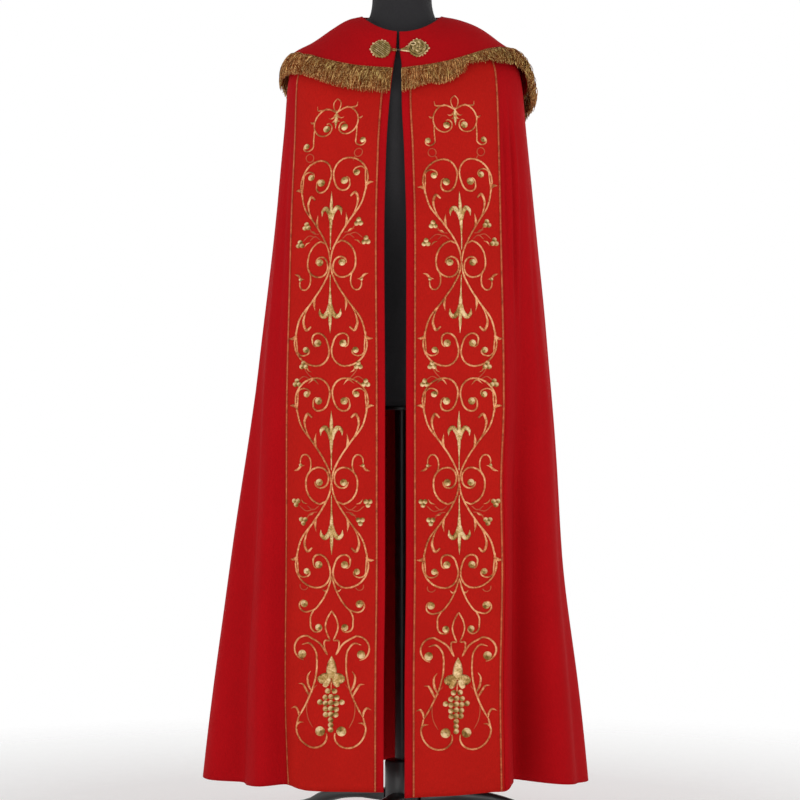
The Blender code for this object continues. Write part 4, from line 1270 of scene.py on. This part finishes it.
def add_strands(made, patch, roots, base, loose, rng):
    """Strands with their own lengths, leans and curls, all at once."""
    count = len(roots)
    knots = [row[0] for row in STRANDS]
    length, sweep, spread, out = (
        np.interp(roots, knots, [row[n] for row in STRANDS]) for n in (1, 2, 3, 4)
    )
    length = length * rng.uniform(*LENGTH_DRAWN, count)
    t = np.linspace(0.0, 1.0, STRAND_POINTS)[None, :]
    lean = (sweep + rng.normal(0.0, 1.0, count) * spread)[:, None]
    wander = rng.normal(0.0, WANDER, (count, 1)) * np.sin(TURN * (t + rng.uniform(0, 1, (count, 1))))
    ks = np.clip(roots[:, None] + lean * t**1.4 + wander * t, 0.0, 12.0)
    down = 0.001 + length[:, None] * t
    waves = math.pi * t * rng.uniform(*WAVES_DRAWN, (count, 1))
    ripple = rng.uniform(*RIPPLE_DRAWN, (count, 1)) * loose * np.sin(waves)
    arch = np.sin(math.pi * np.minimum(0.8 * t + 0.05, 1.0))
    stands = rng.uniform(*STANDS_DRAWN, (count, 1)) * out[:, None] * arch
    lift = STRAND_RADIUS + base + np.abs(ripple) * 0.8 + stands
    points, normals = patch.at(down, ks, lift)
    along = unit(np.gradient(points, axis=1))
    across = unit(np.cross(along, normals))
    outward = np.cross(across, along)
    turn = turns(STRAND_SIDES)
    radius = STRAND_RADIUS * rng.uniform(*RADIUS_DRAWN, (count, 1))
    radius = radius * np.interp(t, (0, 0.85, 1), (1.0, 1.05, 0.65))
    ring = across[:, :, None] * np.cos(turn)[:, None] + outward[:, :, None] * np.sin(turn)[:, None]
    grid = points[:, :, None] + ring * radius[:, :, None, None]
    metres = down[..., None] + turn * 0.0003 + rng.uniform(0, 1, (count, 1, 1))
    around = np.broadcast_to(turn * STRAND_RADIUS, metres.shape) + rng.uniform(0, 1, (count, 1, 1))
    uv = np.stack([metres, around], axis=-1)
    tones_and_painted_light = np.clip(rng.normal(TONE, TONE_SPREAD, (count, 1, 1)), 0.0, 0.8)
    # Painted glints: a few points along each strand made much lighter.
    tones_and_painted_light = tones_and_painted_light + PAINTED_GLINTS * rng.random((count, STRAND_POINTS, 1)) ** 5
    for n in range(count):
        made.add(grid[n], uv[n], tones_and_painted_light[n], loop=True, capped=True)


# ---------------------------------------------------------------- clasp

MEDALS = {
    "left": {"centre": (-0.0262, 1.5418), "half": (0.0190, 0.0190), "away": -1.0, "square": 1.95},
    "right": {"centre": (0.0418, 1.5436), "half": (0.0200, 0.0192), "away": 1.0, "square": 1.60},
}
MEDAL_POINT, MEDAL_POINT_WIDE = 0.16, 0.42
CORD_ROWS, CORD_SLANT, ROW_CORD = 9, math.radians(-38), 0.00115
COIL_TURNS, COIL_CORD = 4.5, 0.00150
MEDAL_LOOPS, LOOP_POINTS, GROUND_SIDES, RIM_POINTS, COIL_POINTS = 19, 22, 56, 160, 64
RIM_SIZE, RIM_LIFT, RIM_CORD, RIM_TONE = 0.84, 0.0030, 0.0012, 0.42
LOOP_SIZE, LOOP_CORD, LOOP_PITCH, LOOP_TONE = 0.89, 0.00095, 0.0036, 0.34
# The padding under the cords: its size and its height, from the middle out.
PADDING = ((0.02, 0.0022), (0.5, 0.0020), (0.84, 0.0014), (0.90, 0.0005))
# Which loops along the top are lighter, with painted light: how light, and the turns between which they
# lie.
PAINTED_LIT_LOOPS = {"left": (0.95, 0.35, 3.9), "right": (0.90, -0.5, 4.3)}
# The open loop: its centre and half size on the medallion, and for the dark middle, which is painted shade
# in the loop's gap, and the bright cord round it the share of that size, the lift, the thickness and the
# tone.
OPEN_LOOP_CENTRE, OPEN_LOOP_HALF = (-0.0085, 0.0078), (0.0050, 0.0030)
OPEN_LOOP_CORDS = ((0.35, 0.0046, 0.0013, -0.6), (1.0, 0.0052, 0.0011, 0.80))


def cape_top(down):
    """How far the cape's outside stands off the mantle beside the slit."""
    return lift_of_cape(down, down / CAPE_FRONT_DOWN) + CAPE_CLOTH


class Medallion:
    """A shape between an oval and a lozenge on the cape, with its point away from the slit."""

    def __init__(self, side):
        self.patch = ground(side, MEDAL_GROUND, cape_top)
        self.form = MEDALS[side]
        self.made = Meshes()

    def reach(self, turn):
        """How far out the edge is at each turn, measured from the slit's side, in half sizes."""
        cosine, sine, square = np.cos(turn), np.sin(turn), self.form["square"]
        lozenge = (np.abs(cosine) ** square + np.abs(sine) ** square) ** (-1 / square)
        return lozenge * (1.0 + MEDAL_POINT * bell(np.mod(turn, 2 * math.pi), math.pi, MEDAL_POINT_WIDE))

    def ring(self, turn, size):
        """Places at these turns, at a share of the shape's size: across from the middle, and up."""
        width, height = self.form["half"]
        reach = size * self.reach(turn)
        return -self.form["away"] * width * reach * np.cos(turn), height * reach * np.sin(turn)

    def size_at(self, across, up):
        """The share of the shape's size at which a place lies."""
        width, height = self.form["half"]
        right, top = -self.form["away"] * across / width, up / height
        return np.hypot(right, top) / self.reach(np.arctan2(top, right))

    def on_cape(self, across, up, lift):
        x, z = self.form["centre"]
        return self.patch.at(z + up, np.abs(x + across), lift)

    def cord(self, across, up, lift, thick, tone_and_painted_light, pitch=0.0042):
        """A twisted cord along these places."""
        points, normals = self.on_cape(across, up, lift)
        twisted_cord(self.made, points, normals, thick, thick, pitch, 8, tone_and_painted_light)


def dome(size):
    return 0.0026 + 0.0014 * (1.0 - np.minimum(size, 1.0) ** 2)


def make_medallion(side):
    """Rows or a coil of gold cord inside a ring of small loops, lighter along the top with painted light.
    """
    medal = Medallion(side)
    turn = turns(GROUND_SIDES)
    rows = [medal.on_cape(*medal.ring(turn, size), lift)[0] for size, lift in PADDING]
    flat = np.stack([turn * 0.01, turn * 0.0], axis=-1)
    medal.made.add(np.stack(rows), np.stack([flat] * len(rows)), 0.12, loop=True, capped=True)
    if side == "left":
        fill_with_rows(medal)
    else:
        fill_with_coil(medal)
        add_open_loop(medal)
        add_tail(medal)
    lit, low, high = PAINTED_LIT_LOOPS[side]
    around = np.linspace(0.0, TURN, MEDAL_LOOPS * LOOP_POINTS + 1)
    swing, wave = np.sin(MEDAL_LOOPS * around), np.cos(MEDAL_LOOPS * around)
    # Loops along the top stand further out and are made lighter: the lightness is painted light falling on
    # the top.
    bright = ease(around, low, low + 0.5) * (1.0 - ease(around, high, high + 0.6))
    uneven = 1.0 + 0.35 * np.sin(5.0 * around + 1.0) + 0.25 * np.sin(8.3 * around)
    reach = (0.04 + 0.08 * bright) * uneven
    spots = medal.ring(around + 0.12 * swing, LOOP_SIZE + reach * (1 - wave) / 2)
    tone_and_painted_light = LOOP_TONE + (lit - LOOP_TONE) * bright * (0.75 + 0.25 * np.sin(6.0 * around))
    medal.cord(*spots, 0.0022 + 0.0006 * wave, LOOP_CORD, tone_and_painted_light[:, None], LOOP_PITCH)
    rim = medal.ring(np.linspace(0, TURN, RIM_POINTS), RIM_SIZE)
    medal.cord(*rim, RIM_LIFT, RIM_CORD, RIM_TONE)
    name = "clasp_medallion_" + side
    medal.made.piece(name + "_cord", "gold_thread", khaki_cord, stands_for=[name])


def fill_with_rows(medal):
    """Slanting rows of cord side by side."""
    reach = np.linspace(-0.030, 0.030, 241)
    for n in np.arange(CORD_ROWS) - (CORD_ROWS - 1) / 2:
        offset = n * 2 * medal.form["half"][1] * RIM_SIZE / CORD_ROWS
        across = reach * math.cos(CORD_SLANT) - offset * math.sin(CORD_SLANT)
        up = reach * math.sin(CORD_SLANT) + offset * math.cos(CORD_SLANT)
        size = medal.size_at(across, up)
        inside = size < 0.80
        if inside.sum() > 12:
            tone_and_painted_light = 0.54 + 0.07 * math.sin(2.3 * n) + 0.06 * np.sin(reach[inside] * 500 + n)
            medal.cord(across[inside], up[inside], dome(size[inside]), ROW_CORD, tone_and_painted_light[:, None])


def fill_with_coil(medal):
    around = np.linspace(0.0, COIL_TURNS * TURN, int(COIL_TURNS * COIL_POINTS))
    size = np.interp(around, (0, around[-1]), (0.78, 0.06)) * (1.0 + 0.06 * np.sin(3.4 * around))
    tone_and_painted_light = 0.48 + 0.26 * np.sin(around * 1.7) * np.sin(around * 3.1 + 1.0)
    medal.cord(*medal.ring(around, size), dome(size), COIL_CORD, tone_and_painted_light[:, None])


def add_open_loop(medal):
    """The one loop that stands open, near the top on the slit's side, round a dark cord that paints the
    shade in its gap.
    """
    turn = np.linspace(0.0, TURN, 40)
    (across, up), (wide, high) = OPEN_LOOP_CENTRE, OPEN_LOOP_HALF
    for share, *drawn in OPEN_LOOP_CORDS:
        medal.cord(across + wide * share * np.cos(turn), up + high * share * np.sin(turn), *drawn)


# The right medallion's tail: strands from its edge (x, z) that come together at the hook (z), and
# how bright each is.
TAIL_STRANDS = (
    (0.0290, 1.5362, 1.5394, 0.85), (0.0260, 1.5385, 1.5400, 0.70), (0.0245, 1.5430, 1.5408, 0.40),
    (0.0255, 1.5475, 1.5413, 0.35),
)
TAIL_FROM_X = 0.0100


def add_tail(medal):
    share = np.linspace(0.0, 1.0, 30)
    x, z = medal.form["centre"]
    for edge_x, edge_z, hook_z, tone_and_painted_light in TAIL_STRANDS:
        across = TAIL_FROM_X + (edge_x - TAIL_FROM_X) * share - x
        up = hook_z + (edge_z - hook_z) * share - 0.0006 * np.sin(math.pi * share) - z
        medal.cord(across, up, 0.0016 + 0.0012 * share, 0.0010, tone_and_painted_light)


HOOK_X, HOOK_Z, HOOK_WIRE = (0.0008, 0.0092), 1.5403, 0.0013
HOOK_CORD_FROM_X = -0.0105


def make_clasp():
    """The two medallions, a dark hook across the slit and the brown cord that holds it."""
    for side in MEDALS:
        make_medallion(side)
    low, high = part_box("clasp_hook")
    middle = (low.y + high.y) / 2
    made = Meshes()

    def wire(x, z, thick, tone_and_painted_light):
        points = np.stack([x, np.full(len(x), middle), z], axis=-1)
        out = np.tile([0.0, -1.0, 0.0], (len(x), 1))
        twisted_cord(made, points, out, thick, thick, 0.003, 8, tone_and_painted_light)

    share = np.linspace(0.0, 1.0, 24)
    shank = HOOK_X[0] + (HOOK_X[1] - HOOK_X[0]) * share
    wire(shank, HOOK_Z + 0.0008 * np.sin(math.pi * share), HOOK_WIRE, 0.4)
    turn = np.linspace(-0.9 * math.pi, 0.9 * math.pi, 30)
    wire(HOOK_X[1] - 0.0022 * np.cos(turn) - 0.001, HOOK_Z + 0.0016 * np.sin(turn), HOOK_WIRE * 0.7, 0.4)
    made.piece("clasp_hook_and_eye", "hook_metal", hook_metal(), stands_for=["clasp_hook"])
    made = Meshes()
    for rise in (0.0013, -0.0013):
        reach = HOOK_CORD_FROM_X + (HOOK_X[0] + 0.0012 - HOOK_CORD_FROM_X) * share
        wire(reach, HOOK_Z + rise + 0.0008 * (1.0 - share), 0.0013, 0.18)
    made.piece("clasp_hook_cord", "gold_thread", gold_bullion)


# ---------------------------------------------------------------- dress form and stand


def form_ring(ring, directions):
    """One ring of the form: its outline where it crosses each direction from the form's centre."""
    centre_x, centre_y = FORM_CENTRE
    points = []
    for east, north in directions:
        side = ring["right"] - centre_x if east > 0 else ring["left"] + centre_x
        depth = ring["back"] - centre_y if north > 0 else ring["front"] + centre_y
        power = ring["square"]
        reach = ((abs(east) / side) ** power + (abs(north) / depth) ** power) ** (-1 / power)
        share = abs(reach * north / depth) ** Z_BLEND
        end = ring["z_back"] if north > 0 else ring["z_front"]
        height = ring["z_side"] + (end - ring["z_side"]) * share
        points.append((centre_x + reach * east, centre_y + reach * north, height))
    return np.array(points)


FORM_SIDES, FORM_BETWEEN = 121, 5
CAP_SHARES, BASE_SHARES = (0.02, 0.6, 0.95), (0.97, 0.5, 0.02)
STAND_WELD, SHARP_FROM = 0.00005, math.radians(38)


def make_form():
    """The trunk in smooth rings, closed by a flat base and a neck cap."""
    ks = np.linspace(0.0, 12.0, FORM_SIDES)
    grid = np.stack([placed(ks, down) for down in SHOULDER_DOWNS])
    shoulders = grid - normals_of(grid) * (CLOTH + REST_GAP)
    flat = grid[WIDEST_SHOULDER, :, :2] - np.array(FORM_CENTRE)
    directions = unit(flat)
    rings = [form_ring(dict(zip(FORM_COLUMNS, row)), directions) for row in NECK_RINGS]
    rings += list(shoulders)
    rings += [form_ring(dict(zip(FORM_COLUMNS, row)), directions) for row in TRUNK_RINGS]
    rings = np.array(rings)
    at = np.linspace(0, len(rings) - 1, (len(rings) - 1) * FORM_BETWEEN + 1)
    smooth = np.empty((len(at), FORM_SIDES, 3))
    for column in range(FORM_SIDES):
        for axis in range(3):
            smooth[:, column, axis] = smooth_through(range(len(rings)), rings[:, column, axis], at)
    centre = smooth.mean(axis=1, keepdims=True)
    top = [centre[0] + (smooth[0] - centre[0]) * share for share in CAP_SHARES]
    foot = [centre[-1] + (smooth[-1] - centre[-1]) * share for share in BASE_SHARES]
    skin = np.concatenate([np.stack(top), smooth, np.stack(foot)])
    made = Meshes()
    made.add(skin, uv_of(skin), loop=True, capped=True)
    made.piece("form_torso_cover", "form_cover", form_jersey, stands_for=["form_torso"])


def fine_copy(node, material, slot):
    """A stand piece's own solid, welded and smooth, in place of its faceted one."""
    joined = bmesh.new()
    joined.from_mesh(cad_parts[node].data)
    bmesh.ops.remove_doubles(joined, verts=joined.verts, dist=STAND_WELD)
    bmesh.ops.dissolve_limit(joined, angle_limit=0.02, verts=joined.verts, edges=joined.edges)
    mesh = bpy.data.meshes.new(node + "_fine")
    joined.to_mesh(mesh)
    joined.free()
    mesh.shade_smooth()
    mesh.set_sharp_from_angle(angle=SHARP_FROM)
    mesh.materials.append(material)
    settle(linked(node + "_fine", mesh), slot, node)


def make_stand():
    black_rubber = rubber()
    for node in sorted(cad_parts):
        if node.startswith(("stand_", "form_plate")):
            fine_copy(node, paint, "stand_black")
        elif node.startswith("foot_pad"):
            fine_copy(node, black_rubber, "foot_rubber")


# ---------------------------------------------------------------- stage, lights and camera

CAMERA = (0.0086, -5.2, 0.861)
FRONT_PLANE, FRAME_HEIGHT, SENSOR = -0.20, 1.52, 36.0
OVERHEAD = 0.50
FLOOR_RADIUS = 2.4
LAMP_AIM = (0.0, 0.0, 0.95)
LAMPS = (  # name, place, size and watts
    ("key", (-2.2, -3.8, 0.75), 2.2, 40.0),
    ("fill", (2.6, -3.6, 0.60), 2.4, 29.0),
    ("back", (1.6, 3.6, 2.6), 2.4, 30.0),
)


def studio():
    """White all round the horizon and below it, and dimmer overhead."""
    world = bpy.data.worlds.new("studio")
    world.use_nodes = True
    tree = world.node_tree
    place = tree.nodes.new("ShaderNodeTexCoord").outputs["Generated"]
    split = tree.nodes.new("ShaderNodeSeparateXYZ")
    ramp = tree.nodes.new("ShaderNodeValToRGB")
    tree.links.new(place, split.inputs["Vector"])
    tree.links.new(split.outputs["Z"], ramp.inputs["Fac"])
    for element, (height, grey) in zip(ramp.color_ramp.elements, ((0.17, 1.0), (0.75, OVERHEAD))):
        element.position = height
        element.color = (grey, grey, grey, 1.0)
    tree.links.new(ramp.outputs["Color"], tree.nodes["Background"].inputs["Color"])
    return world


def make_stage():
    mesh = bmesh.new()
    bmesh.ops.create_circle(mesh, cap_ends=True, segments=96, radius=FLOOR_RADIUS)
    data = bpy.data.meshes.new("floor")
    mesh.to_mesh(data)
    mesh.free()
    data.materials.append(pale_floor())
    linked("floor", data)

    bpy.context.scene.world = studio()
    bpy.context.scene.view_settings.view_transform = "Standard"

    for name, place, size, watts in LAMPS:
        lamp = bpy.data.lights.new(name, "AREA")
        lamp.size = size
        lamp.energy = watts
        obj = linked(name, lamp)
        obj.location = place
        aim = np.array(LAMP_AIM) - np.array(place)
        yaw = math.atan2(aim[0], -aim[1])
        obj.rotation_euler = (math.atan2(math.hypot(aim[0], aim[1]), -aim[2]), 0.0, yaw + math.pi)


def make_camera():
    lens = bpy.data.cameras.new("camera")
    lens.sensor_width = SENSOR
    lens.lens = SENSOR * (FRONT_PLANE - CAMERA[1]) / FRAME_HEIGHT
    camera = linked("camera", lens)
    camera.location = CAMERA
    camera.rotation_euler = (math.pi / 2, 0.0, 0.0)
    bpy.context.scene.camera = camera


make_mantle()
make_orphreys()
make_cape()
make_clasp()
make_form()
make_stand()
make_stage()
make_camera()
